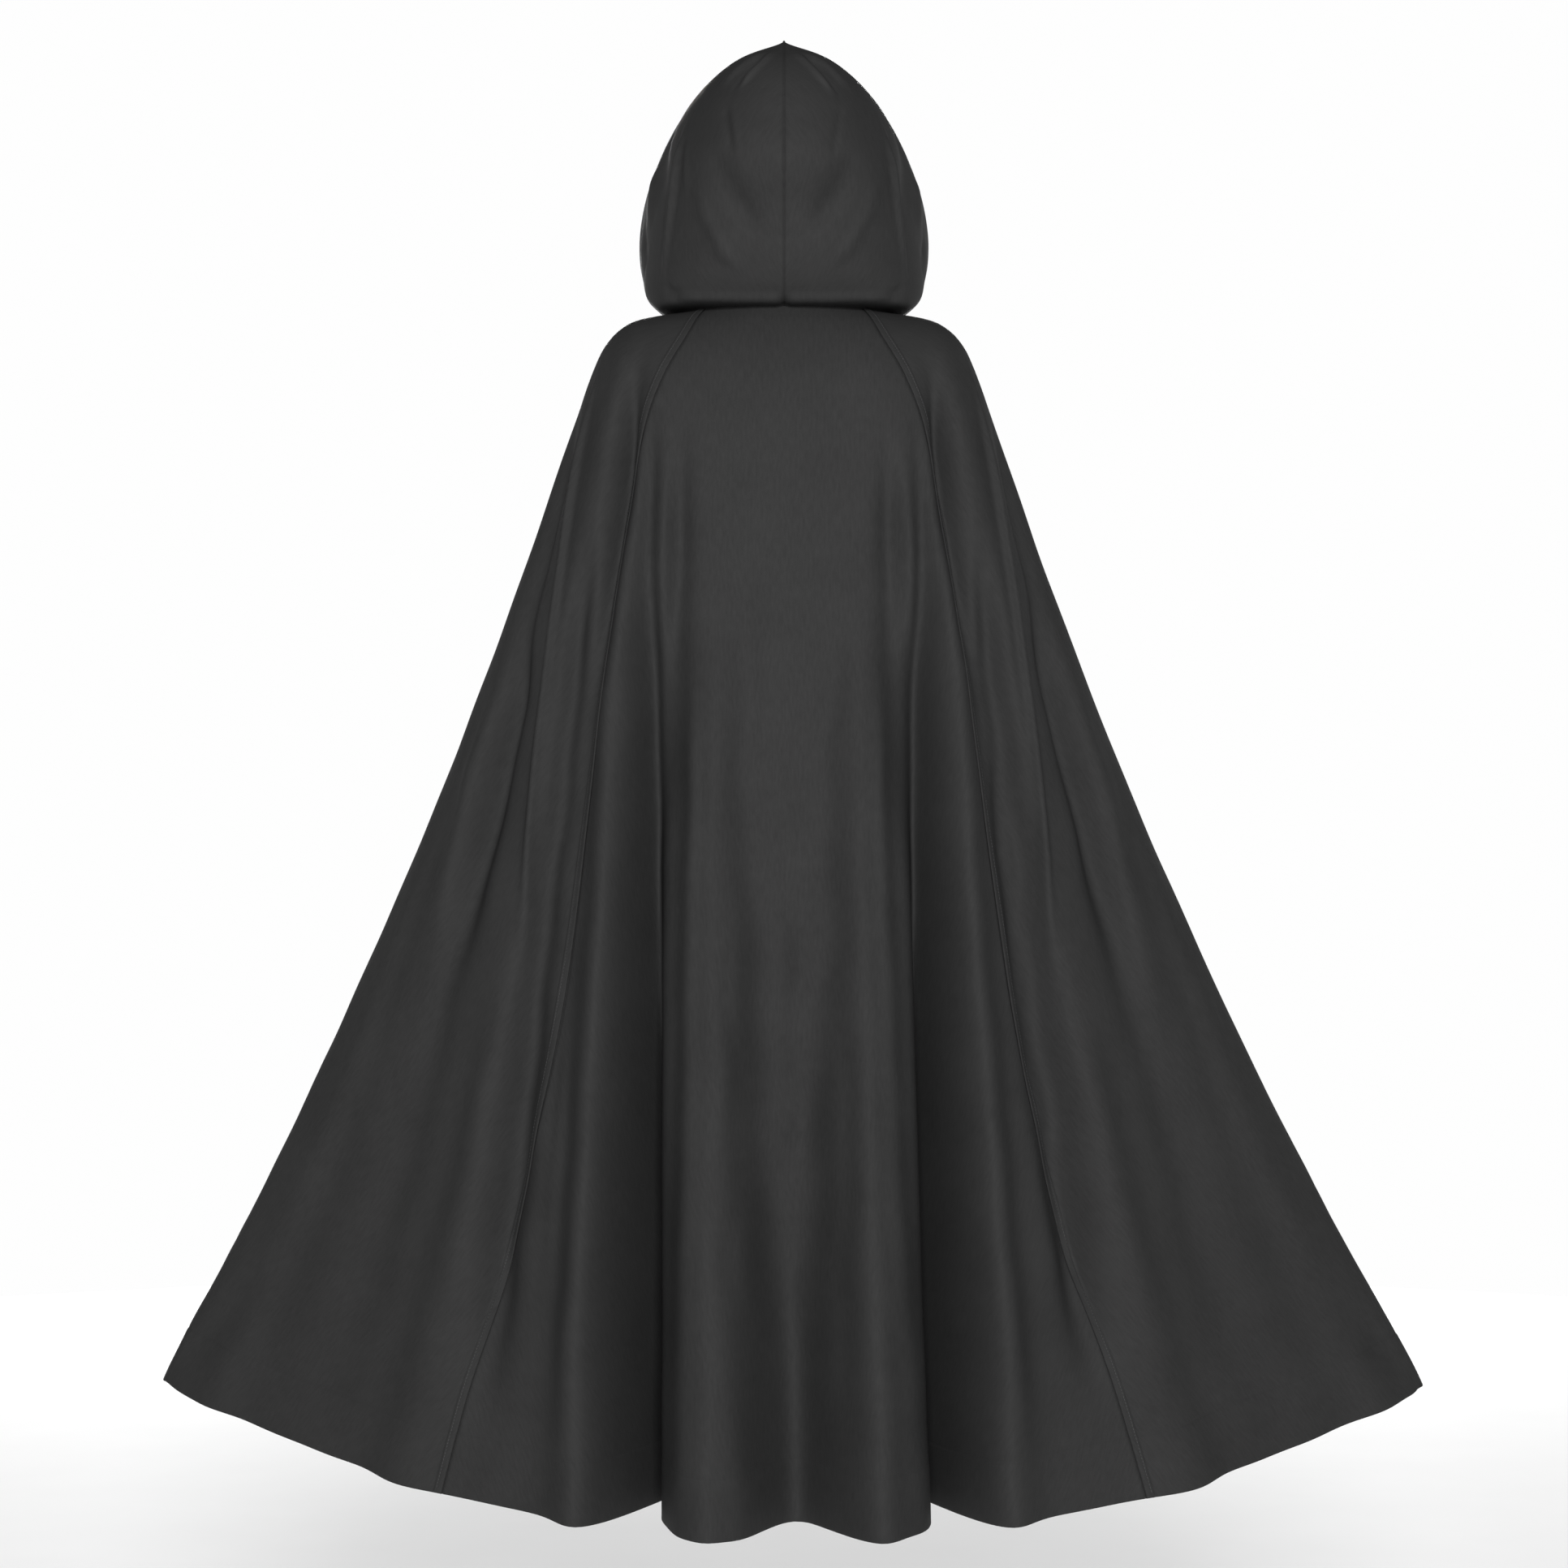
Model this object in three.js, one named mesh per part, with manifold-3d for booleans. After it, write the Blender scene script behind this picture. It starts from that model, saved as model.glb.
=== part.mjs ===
// Full-length hooded wool cloak, worn form with no wearer, in millimetres, +Z up.
// The origin is the middle of the neck opening, level with the back neck seam.
// The front opening faces -Y, the wearer's left is +X, and the back faces +Y.
import * as THREE from 'three';
import Module from 'manifold-3d';

// Cloth
const WALL = 2.5;
const SEAM_GAP = 0.3;
const SEAM_SLANT = 1.8;
const LENGTH = 1461;
const LAP = 20;
const LAP_RISE = 4.6;
const LAP_RUN = 1.6;

// The worn hang: the hem sways to the wearer's right, and each side drops below an even cone
const SWAY = -11;
const RIGHT_DROP = 13;
const LEFT_DROP = 6;
const DROP_REACH = 620;

// Neck button
const BUTTON_RADIUS = 15;
const BUTTON_THICK = 4.5;
const BUTTON_DISH = 1.2;
const BUTTON_HOLE_RADIUS = 1.4;
const BUTTON_HOLE_PITCH = 2.9;
const BUTTON_HOLE_SIDES = 12;
const BUTTON_SIDES = 32;
const BUTTON_DOWN = 34;
const BUTTON_CLEAR = 0.8;

// Grid of each piece
const BODY_ROWS = 20;
const ROW_CROWDING = 1.7;
const BACK_COLUMNS = 56;
const SIDE_COLUMNS = 44;
const HOOD_COLUMNS = 18;
const HOOD_ROWS = 16;

// A table with named columns, a row for each section, seam point or fold
const table = (columns, rows) => rows.map((row) => {
  return Object.fromEntries(columns.map((name, i) => [name, row[i]]));
});

// Rings of the body. down runs along the cloth at the side; half is the half width; each z is the
// height of the ring there; hollow above 0 thins the ring towards its side tips, below 0 squares it.
const RINGS = table(['down', 'half', 'sideZ', 'backY', 'backZ', 'frontY', 'frontZ', 'hollow'], [
  [0, 122, -1, 72, 0, 78, -38, 0],
  [28, 150, -4, 88, -20, 92, -60, -0.05],
  [51, 172, -8, 99, -40, 102, -80, -0.1],
  [68, 188, -14, 106, -56, 109, -95, -0.15],
  [91, 206, -28, 114, -78, 117, -117, -0.2],
  [120, 222, -52, 121, -106, 124, -145, -0.25],
  [193, 248, -121, 133, -177, 137, -216, -0.25],
  [410, 319, -326, 160, -389, 162, -424, -0.15],
  [704, 425, -599, 205, -675, 200, -705, 0.1],
  [1004, 548, -873, 262, -964, 245, -990, 0.35],
  [1234, 651, -1078, 305, -1183, 285, -1206, 0.55],
  [LENGTH, 762, -1278, 345, -1399, 330, -1420, 0.7],
]);

// Back seams: distance of the seam from the middle of the back
const SEAM = table(['down', 'out'], [
  [0, 94],
  [60, 113],
  [120, 141],
  [190, 166],
  [305, 188],
  [550, 215],
  [895, 262],
  [1125, 314],
  [LENGTH, 396],
]);

// Folds. Each starts at from and ends at to, down the cloth, at a girth measured from the middle of
// the back or of the front, + to the wearer's left. place, width (half the fold) and rise (how far it
// stands out) are at its start, and the next column has each at its end. pinch draws its sides in.
const FOLD_COLUMNS = [
  'name', 'side', 'from', 'to', 'place', 'placeEnd', 'width', 'widthEnd', 'rise', 'riseEnd', 'pinch',
];
const FOLDS = table(FOLD_COLUMNS, [
  ['centre valley', 'back', 430, LENGTH, 0, -4, 38, 46, -4, -86, 0],
  ['left lobe', 'back', 400, LENGTH, 84, 92, 30, 40, 4, 34, 0],
  ['right lobe', 'back', 400, LENGTH, -84, -96, 30, 40, 4, 34, 0],
  ['left recess', 'back', 330, LENGTH, 150, 173, 22, 34, -6, -198, 24],
  ['right recess', 'back', 330, LENGTH, -152, -177, 22, 34, -6, -204, 26],
  ['left second lobe', 'back', 230, LENGTH, 186, 238, 22, 38, 6, 34, 0],
  ['right second lobe', 'back', 230, LENGTH, -186, -240, 22, 38, 6, 28, 0],
  ['left shoulder valley', 'back', 70, 1080, 188, 300, 16, 26, -13, -12, 6],
  ['right shoulder valley', 'back', 75, 1040, -190, -302, 16, 26, -12, -12, 6],
  ['left shoulder ridge', 'back', 60, 900, 226, 330, 26, 40, 9, 12, 0],
  ['right shoulder ridge', 'back', 60, 880, -228, -334, 26, 40, 9, 11, 0],
  ['left side valley', 'back', 420, LENGTH, 350, 690, 34, 80, -12, -9, 0],
  ['right side valley', 'back', 400, LENGTH, -352, -700, 34, 80, -12, -8, 0],
  ['left seam ridge', 'back', 760, LENGTH, 330, 478, 40, 66, 8, 18, 0],
  ['right seam ridge', 'back', 740, LENGTH, -334, -482, 40, 66, 8, 24, 0],
  ['left front first ridge', 'front', 260, LENGTH, 110, 196, 40, 62, 4, 34, 0],
  ['left front first valley', 'front', 210, LENGTH, 186, 330, 34, 58, -6, -74, 20],
  ['left front second ridge', 'front', 330, LENGTH, 246, 470, 40, 66, 5, 40, 0],
  ['left front second valley', 'front', 300, LENGTH, 322, 640, 40, 72, -6, -52, 16],
  ['left front side ridge', 'front', 520, LENGTH, 410, 840, 50, 90, 4, 20, 0],
  ['right front first ridge', 'front', 300, LENGTH, -96, -168, 38, 58, 4, 30, 0],
  ['right front first valley', 'front', 240, LENGTH, -168, -296, 34, 56, -6, -80, 22],
  ['right front second ridge', 'front', 300, LENGTH, -234, -430, 40, 64, 5, 42, 0],
  ['right front second valley', 'front', 340, LENGTH, -312, -596, 40, 70, -6, -48, 14],
  ['right front side ridge', 'front', 480, LENGTH, -400, -800, 50, 88, 4, 24, 0],
]);
const FOLD_GROWTH = 1.35;
const FOLD_FADE = 150;

// Rows of the hood above the neck ring, from the neck to the crown. rim is the front edge, back is
// the middle of the back, and corner is the half width where the side turns into the back.
const HOOD = table(['rimX', 'rimY', 'rimZ', 'corner', 'backY', 'backZ'], [
  [56, -94, -22, 178, 86, 11],
  [126, -120, 8, 190, 105, 28],
  [166, -137, 52, 170, 124, 62],
  [175, -142, 100, 154, 139, 109],
  [169, -145, 157, 148, 145, 165],
  [153, -146, 214, 136, 134, 220],
  [128, -142, 262, 115, 114, 261],
  [99, -135, 288, 92, 92, 289],
  [56, -127, 304, 57, 64, 308],
  [0, -122, 312, 0, 30, 318],
]);
const HOOD_FRONT_TRIM = 0.12;
const HOOD_NECK_TURN = 0.5;
const HOOD_LIFT = 0.6;
const HOOD_INSET = 0.995;
const HOOD_SIDE_HANDLE = 0.5;
const HOOD_BACK_HANDLE = 0.9;
const HOOD_SEAM_REACH = 10;

// Steps for the slopes of a surface: in radians round a ring, and as a share of a grid cell
const RING_STEP = 0.002;
const CELL_STEP = 0.1;

const smooth = (x) => {
  const t = Math.min(Math.max(x, 0), 1);
  return t * t * (3 - 2 * t);
};
const mix = (a, b, t) => a + (b - a) * t;

// Value of one column of a table at a height down the cloth, on a smooth curve through its rows
function read(rows, column, at) {
  const last = rows.length - 1;
  let i = 0;
  while (i < last - 1 && at > rows[i + 1].down) i += 1;
  const span = rows[i + 1].down - rows[i].down;
  const slope = (k) => {
    const a = Math.max(k - 1, 0);
    const b = Math.min(k + 1, last);
    return (rows[b][column] - rows[a][column]) / (rows[b].down - rows[a].down);
  };
  const t = Math.min(Math.max((at - rows[i].down) / span, 0), 1);
  const p = rows[i][column];
  const q = rows[i + 1][column];
  const rest = span * (slope(i) * t * (1 - t) ** 2 - slope(i + 1) * t * t * (1 - t));
  return p * (1 + 2 * t) * (1 - t) ** 2 + q * t * t * (3 - 2 * t) + rest;
}

// Smooth ring of the body with no folds, at an angle from the middle of the back
function ring(angle, down) {
  const back = Math.cos(angle) > 0;
  const half = read(RINGS, 'half', down);
  const depth = read(RINGS, back ? 'backY' : 'frontY', down);
  const drop = read(RINGS, back ? 'backZ' : 'frontZ', down);
  const side = read(RINGS, 'sideZ', down);
  const hollow = read(RINGS, 'hollow', down);
  const s = Math.sin(angle);
  const c = Math.cos(angle);
  return new THREE.Vector3(half * s, depth * c * (1 - hollow * s * s), drop * c * c + side * s * s);
}

// How far the folds move a point: out along the ring's own normal, and along its girth
function foldShift(angle, down) {
  const half = read(RINGS, 'half', down);
  const turned = Math.atan2(Math.sin(angle), -Math.cos(angle));
  const girth = { back: half * Math.atan2(Math.sin(angle), Math.cos(angle)), front: half * turned };
  let out = 0;
  let along = 0;
  for (const fold of FOLDS) {
    const t = Math.min(Math.max((down - fold.from) / (fold.to - fold.from), 0), 1);
    if (t > 0 && down <= fold.to) {
      const start = smooth((down - fold.from) / FOLD_FADE);
      const end = fold.to < LENGTH ? smooth((fold.to - down) / (2 * FOLD_FADE)) : 1;
      const place = mix(fold.place, fold.placeEnd, t);
      const u = (girth[fold.side] - place) / mix(fold.width, fold.widthEnd, t);
      const bump = Math.exp(-u * u) * start * end;
      out += bump * mix(fold.rise, fold.riseEnd, t ** FOLD_GROWTH);
      along -= bump * u * fold.pinch * t * (fold.side === 'back' ? 1 : -1);
    }
  }
  return { out, along };
}

// Outer face of the cloth at an angle and a height down the cloth
function cloth(angle, down, raised = 0) {
  const point = ring(angle, down);
  const tangent = ring(angle + RING_STEP, down).sub(ring(angle - RING_STEP, down)).setZ(0).normalize();
  const outward = new THREE.Vector3(-tangent.y, tangent.x, 0);
  const fold = foldShift(angle, down);
  point.addScaledVector(outward, fold.out + raised);
  point.addScaledVector(tangent, fold.along);
  const low = (down / LENGTH) ** 2;
  point.z -= (point.x < 0 ? RIGHT_DROP : LEFT_DROP) * low * smooth(Math.abs(point.x) / DROP_REACH);
  point.x += SWAY * low;
  return point;
}

const seamAngle = (down) => Math.asin(read(SEAM, 'out', down) / read(RINGS, 'half', down));
const gapAngle = (down) => {
  const across = read(RINGS, 'half', down) * Math.cos(seamAngle(down));
  return (0.5 * SEAM_GAP * SEAM_SLANT) / across;
};
const rowDown = (q) => LENGTH * q ** ROW_CROWDING;

function backPanel(p, q) {
  const down = rowDown(q);
  const edge = seamAngle(down) - gapAngle(down);
  return cloth(mix(-edge, edge, p), down);
}

function leftFront(p, q) {
  const down = rowDown(q);
  const edge = seamAngle(down) + gapAngle(down);
  return cloth(mix(edge, Math.PI + LAP / read(RINGS, 'half', down), p), down);
}

// The right front laps over the left one
function rightFront(p, q) {
  const down = rowDown(q);
  const edge = seamAngle(down) + gapAngle(down);
  const half = read(RINGS, 'half', down);
  const angle = mix(-Math.PI - LAP / half, -edge, p);
  const rise = LAP_RISE * smooth(LAP_RUN - (half * (angle + Math.PI)) / (2 * LAP));
  return cloth(angle, down, rise);
}

// One row of the hood: a cubic curve from the rim round the corner to the middle of the back
function hoodRow(row, p) {
  const rim = new THREE.Vector3(row.rimX, row.rimY, row.rimZ);
  const side = new THREE.Vector3(row.corner, mix(row.rimY, row.backY, HOOD_SIDE_HANDLE), row.backZ);
  const corner = new THREE.Vector3(row.corner * HOOD_BACK_HANDLE, row.backY, row.backZ);
  const back = new THREE.Vector3(0, row.backY, row.backZ);
  return new THREE.CubicBezierCurve3(rim, side, corner, back).getPoint(p);
}

// Outer face of the left half of the hood: p runs from the rim to the back, q from neck to crown
function hoodLeft(p, q) {
  const turn = (Math.PI - HOOD_FRONT_TRIM - HOOD_NECK_TURN * Math.sin(Math.PI * p)) * (1 - p);
  const neck = ring(turn, 0);
  neck.set(neck.x * HOOD_INSET, neck.y * HOOD_INSET, neck.z + HOOD_LIFT);
  const column = [neck, ...HOOD.map((row) => hoodRow(row, p))];
  const point = new THREE.CatmullRomCurve3(column, false, 'centripetal').getPoint(q);
  point.x += 0.5 * SEAM_GAP * smooth(2 - point.x / HOOD_SEAM_REACH);
  return point;
}

// A closed wall of cloth: the outer face, the same grid moved in by the wall, and four edges.
// A seam on the middle plane keeps every point of the wall at or past the least x.
function wall(face, columns, rows, leastX = -Infinity) {
  const clamp = (x) => Math.min(Math.max(x, 0), 1);
  const points = [[], []];
  for (let j = 0; j <= rows; j += 1) {
    for (let i = 0; i <= columns; i += 1) {
      const at = (di, dj) => face((i + di) / columns, clamp((j + dj) / rows));
      const across = at(CELL_STEP, 0).sub(at(-CELL_STEP, 0));
      const down = at(0, CELL_STEP).sub(at(0, -CELL_STEP));
      const normal = across.cross(down).normalize();
      const outer = at(0, 0);
      const inner = outer.clone().addScaledVector(normal, -WALL);
      inner.x = Math.max(inner.x, leastX);
      points[0].push(outer);
      points[1].push(inner);
    }
  }
  const sheet = (columns + 1) * (rows + 1);
  const index = (i, j, inner) => inner * sheet + j * (columns + 1) + i;
  const faces = [];
  const quad = (a, b, c, d) => faces.push(a, b, c, a, c, d);
  for (let j = 0; j < rows; j += 1) {
    for (let i = 0; i < columns; i += 1) {
      const corners = [[i, j], [i + 1, j], [i + 1, j + 1], [i, j + 1]];
      const [a, b, c, d] = corners.map(([m, n]) => points[0][index(m, n, 0)]);
      if (a.distanceTo(c) > b.distanceTo(d)) corners.push(corners.shift());
      quad(...corners.map(([m, n]) => index(m, n, 0)));
      const [first, ...others] = corners;
      quad(...[first, ...others.reverse()].map(([m, n]) => index(m, n, 1)));
    }
  }
  for (let i = 0; i < columns; i += 1) {
    quad(index(i, 0, 0), index(i, 0, 1), index(i + 1, 0, 1), index(i + 1, 0, 0));
    quad(index(i + 1, rows, 0), index(i + 1, rows, 1), index(i, rows, 1), index(i, rows, 0));
  }
  for (let j = 0; j < rows; j += 1) {
    quad(index(0, j + 1, 0), index(0, j + 1, 1), index(0, j, 1), index(0, j, 0));
    quad(index(columns, j, 0), index(columns, j, 1), index(columns, j + 1, 1), index(columns, j + 1, 0));
  }
  const geometry = new THREE.BufferGeometry();
  const flat = points.flat().flatMap((point) => point.toArray());
  geometry.setAttribute('position', new THREE.Float32BufferAttribute(flat, 3));
  geometry.setIndex(faces);
  geometry.computeVertexNormals();
  return geometry;
}

// The same geometry on the other side of the middle plane
function mirrored(geometry) {
  const made = geometry.clone();
  made.scale(-1, 1, 1);
  const corners = made.index.array;
  for (let i = 0; i < corners.length; i += 3) {
    [corners[i + 1], corners[i + 2]] = [corners[i + 2], corners[i + 1]];
  }
  made.computeVertexNormals();
  return made;
}

const wasm = await Module();
wasm.setup();

// A closed geometry with merged vertices as a solid, and back
function solid(geometry) {
  const position = geometry.getAttribute('position');
  const keys = new Map();
  const vertices = [];
  const merged = Array.from({ length: position.count }, (_, i) => {
    const xyz = [position.getX(i), position.getY(i), position.getZ(i)];
    const key = xyz.map((x) => Math.round(x * 1e4)).join();
    if (!keys.has(key)) {
      keys.set(key, keys.size);
      vertices.push(...xyz);
    }
    return keys.get(key);
  });
  const corners = geometry.index ? Array.from(geometry.index.array) : merged.map((_, i) => i);
  const faces = [];
  for (let i = 0; i < corners.length; i += 3) {
    const [a, b, c] = corners.slice(i, i + 3).map((k) => merged[k]);
    if (a !== b && b !== c && c !== a) faces.push(a, b, c);
  }
  const mesh = new wasm.Mesh({
    numProp: 3,
    vertProperties: new Float32Array(vertices),
    triVerts: new Uint32Array(faces),
  });
  return new wasm.Manifold(mesh);
}

function fromSolid(manifold) {
  const mesh = manifold.getMesh();
  const geometry = new THREE.BufferGeometry();
  geometry.setAttribute('position', new THREE.BufferAttribute(new Float32Array(mesh.vertProperties), 3));
  geometry.setIndex(new THREE.BufferAttribute(new Uint32Array(mesh.triVerts), 1));
  geometry.computeVertexNormals();
  return geometry;
}

// Half section of the button, its back at height 0: how far in from the rim, and the height
const BUTTON_PROFILE = table(['inset', 'height'], [
  [BUTTON_RADIUS, 0],
  [2.2, 0],
  [0.6, 0.9],
  [0, 2.2],
  [0.7, BUTTON_THICK - 0.4],
  [2, BUTTON_THICK],
  [3.4, BUTTON_THICK - 0.4],
  [5, BUTTON_THICK - BUTTON_DISH],
  [BUTTON_RADIUS, BUTTON_THICK - BUTTON_DISH],
]);

// Round sewn-through button with a dished face, a rolled rim and four holes
function buttonGeometry() {
  const profile = BUTTON_PROFILE.map((row) => new THREE.Vector2(BUTTON_RADIUS - row.inset, row.height));
  const body = new THREE.LatheGeometry(profile, BUTTON_SIDES);
  body.rotateX(Math.PI / 2);
  let made = solid(body);
  for (const [x, y] of [[-1, -1], [1, -1], [1, 1], [-1, 1]]) {
    const radius = BUTTON_HOLE_RADIUS;
    const drill = new THREE.CylinderGeometry(radius, radius, 3 * BUTTON_THICK, BUTTON_HOLE_SIDES);
    drill.rotateX(Math.PI / 2);
    drill.translate(x * BUTTON_HOLE_PITCH, y * BUTTON_HOLE_PITCH, 0);
    made = made.subtract(solid(drill));
  }
  return fromSolid(made);
}

const CHARCOAL = 0x343435;
const DARK_HORN = 0x1b1a1a;
const wool = () => new THREE.MeshStandardMaterial({ color: CHARCOAL, roughness: 0.95, metalness: 0 });
const horn = () => new THREE.MeshStandardMaterial({ color: DARK_HORN, roughness: 0.4, metalness: 0 });

function piece(name, geometry, material) {
  const mesh = new THREE.Mesh(geometry, material);
  mesh.name = name;
  return mesh;
}

const cloak = new THREE.Group();
cloak.name = 'hooded_cloak';
cloak.add(piece('back_panel', wall(backPanel, BACK_COLUMNS, BODY_ROWS), wool()));
cloak.add(piece('left_front_panel', wall(leftFront, SIDE_COLUMNS, BODY_ROWS), wool()));
cloak.add(piece('right_front_panel', wall(rightFront, SIDE_COLUMNS, BODY_ROWS), wool()));
const hoodHalf = wall(hoodLeft, HOOD_COLUMNS, HOOD_ROWS, 0.5 * SEAM_GAP);
cloak.add(piece('hood_left', hoodHalf, wool()));
cloak.add(piece('hood_right', mirrored(hoodHalf), wool()));

// The button sits on the lap at the front of the neck, facing out along the cloth there
const seat = cloth(Math.PI, BUTTON_DOWN, LAP_RISE);
const below = cloth(Math.PI, BUTTON_DOWN + 1, LAP_RISE).sub(seat).normalize();
const facing = new THREE.Vector3(-1, 0, 0).cross(below).normalize();
const button = piece('neck_button', buttonGeometry(), horn());
button.quaternion.setFromUnitVectors(new THREE.Vector3(0, 0, 1), facing);
button.position.copy(seat).addScaledVector(facing, BUTTON_CLEAR);
cloak.add(button);

export default cloak;
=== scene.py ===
"""A full-length hooded wool cloak, dressed in cloth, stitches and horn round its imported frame.

Sizes are in millimetres in the tables and fields, and every mesh is made in metres. The origin is
the middle of the neck opening, the back of the cloak faces +Y and the wearer's left is +X.
"""

import logging
import math
from collections.abc import Callable, Sequence
from dataclasses import dataclass, field
from enum import Enum

import bpy
import numpy as np
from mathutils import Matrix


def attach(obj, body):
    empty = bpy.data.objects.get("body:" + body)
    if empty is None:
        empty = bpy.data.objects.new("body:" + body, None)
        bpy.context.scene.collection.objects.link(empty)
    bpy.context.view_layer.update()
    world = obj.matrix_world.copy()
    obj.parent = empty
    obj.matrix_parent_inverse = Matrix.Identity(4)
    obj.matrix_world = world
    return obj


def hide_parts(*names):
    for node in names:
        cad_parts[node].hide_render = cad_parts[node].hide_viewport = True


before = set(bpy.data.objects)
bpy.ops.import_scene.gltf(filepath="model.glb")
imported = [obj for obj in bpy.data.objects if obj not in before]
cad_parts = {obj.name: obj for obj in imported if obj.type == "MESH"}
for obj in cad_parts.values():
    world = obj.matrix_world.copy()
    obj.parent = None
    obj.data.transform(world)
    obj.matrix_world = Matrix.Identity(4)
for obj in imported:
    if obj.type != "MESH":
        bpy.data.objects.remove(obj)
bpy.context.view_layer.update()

Array = np.ndarray
MM = 0.001
LOG = logging.getLogger("cloak")

# Cloth, as in the frame
LENGTH = 1461.0
LAP = 20.0
LAP_RISE = 4.6
LAP_RUN = 1.6
SWAY = -11.0
RIGHT_DROP = 13.0
LEFT_DROP = 6.0
DROP_REACH = 620.0
FOLD_GROWTH = 1.35
FOLD_FADE = 150.0
RING_STEP = 0.002
DOWN_STEP = 1.5

# Making of the cloth
WALL = 2.2
HEM_DEPTH = 73.0
HEM_PLY = 2.0
HEM_STEP = 0.45
HEM_RUN = 4.0
HEM_LINE = 0.2
BAND_WIDTH = 8.6
BAND_RUN = 1.9
BAND_RISE = 1.2
BAND_STITCH = 7.2
UNDERLAP = 3.0
UNDERLAP_DIP = 1.3
UNDERLAP_RUN = 3.5
EDGE_STITCH = 8.0
EDGE_RISE = 0.35
STITCH_DIP = 0.4
STITCH_DIP_WIDTH = 0.8
LEAST_EDGE = 0.12

# Button, as in the frame
BUTTON_DOWN = 34.0
BUTTON_CLEAR = 0.8
BUTTON_THICK = 4.5
BUTTON_DISH = 1.2
BUTTON_HOLE_PITCH = 2.9


class Side(Enum):
    """The half of the body from whose middle a fold's girth is measured."""

    BACK = "back"
    FRONT = "front"


class Edge(Enum):
    """How the upright edge of a body panel is made."""

    UNDER = "runs under the seam band"
    BAND = "seam band, pressed and topstitched"
    FRONT = "folded front edge, topstitched"


class Plane(Enum):
    """The plane in which the route of a hood crease is drawn."""

    BACK = 0
    SIDE = 1


def smooth(x: Array | float) -> Array:
    """Smooth step: 0 below 0, 1 above 1, and 3t^2 - 2t^3 between."""
    t = np.clip(x, 0.0, 1.0)
    return t * t * (3.0 - 2.0 * t)


def mix(a: Array | float, b: Array | float, t: Array | float) -> Array:
    """Value between a and b at share t."""
    return a + (b - a) * t


def bell(x: Array) -> Array:
    """Bell curve: e to the power of minus x squared."""
    return np.exp(-x * x)


def unit(vectors: Array) -> Array:
    """The same directions at length 1."""
    length = np.linalg.norm(vectors, axis=-1, keepdims=True)
    return vectors / np.maximum(length, 1e-12)


@dataclass(frozen=True)
class Table:
    """Rows of numbers under named columns, the first column rising from row to row."""

    columns: tuple[str, ...]
    rows: tuple[tuple[float, ...], ...]

    def column(self, name: str) -> Array:
        """All the values of one column."""
        return np.array([row[self.columns.index(name)] for row in self.rows], float)

    def read(self, name: str, at: Array) -> Array:
        """Reads a column on a smooth curve.

        Between two rows the curve is a cubic Hermite whose slope at a row is the rise from the row
        before to the row after over the distance between them.

        Args:
            name: the column to read.
            at: places along the first column.

        Returns:
            The column's values there, in the shape of at.
        """
        x = self.column(self.columns[0])
        y = self.column(name)
        before = np.maximum(np.arange(len(x)) - 1, 0)
        after = np.minimum(np.arange(len(x)) + 1, len(x) - 1)
        slope = (y[after] - y[before]) / (x[after] - x[before])
        i = np.clip(np.searchsorted(x, at, side="left") - 1, 0, len(x) - 2)
        span = x[i + 1] - x[i]
        t = np.clip((at - x[i]) / span, 0.0, 1.0)
        ends = y[i] * (1 + 2 * t) * (1 - t) ** 2 + y[i + 1] * t * t * (3 - 2 * t)
        return ends + span * (slope[i] * t * (1 - t) ** 2 - slope[i + 1] * t * t * (1 - t))


@dataclass(frozen=True)
class Fold:
    """A large fold of the hang, the same as in the frame.

    It runs from start to stop down the cloth, with its middle at a girth from the middle of its
    side, its half width and its rise given at both ends. pinch draws its two walls together.
    """

    name: str
    side: Side
    start: float
    stop: float
    place: float
    place_end: float
    width: float
    width_end: float
    rise: float
    rise_end: float
    pinch: float

    def shift(self, girth: Array, down: Array) -> tuple[Array, Array]:
        """Moves the cloth by this fold.

        The rise grows as the share t of the fold's length to the power 1.35, over a bell curve
        across the fold, and fades in over 150 mm, and out over 300 mm if it ends above the hem.

        Args:
            girth: distance from the middle of the fold's side.
            down: distance down the cloth.

        Returns:
            How far out the cloth moves, and how far along its girth.
        """
        t = np.clip((down - self.start) / (self.stop - self.start), 0.0, 1.0)
        fade = smooth((down - self.start) / FOLD_FADE)
        if self.stop < LENGTH:
            fade = fade * smooth((self.stop - down) / (2 * FOLD_FADE))
        u = (girth - mix(self.place, self.place_end, t)) / mix(self.width, self.width_end, t)
        bump = bell(u) * fade
        turn = 1.0 if self.side is Side.BACK else -1.0
        return bump * mix(self.rise, self.rise_end, t**FOLD_GROWTH), -bump * u * self.pinch * t * turn


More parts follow.
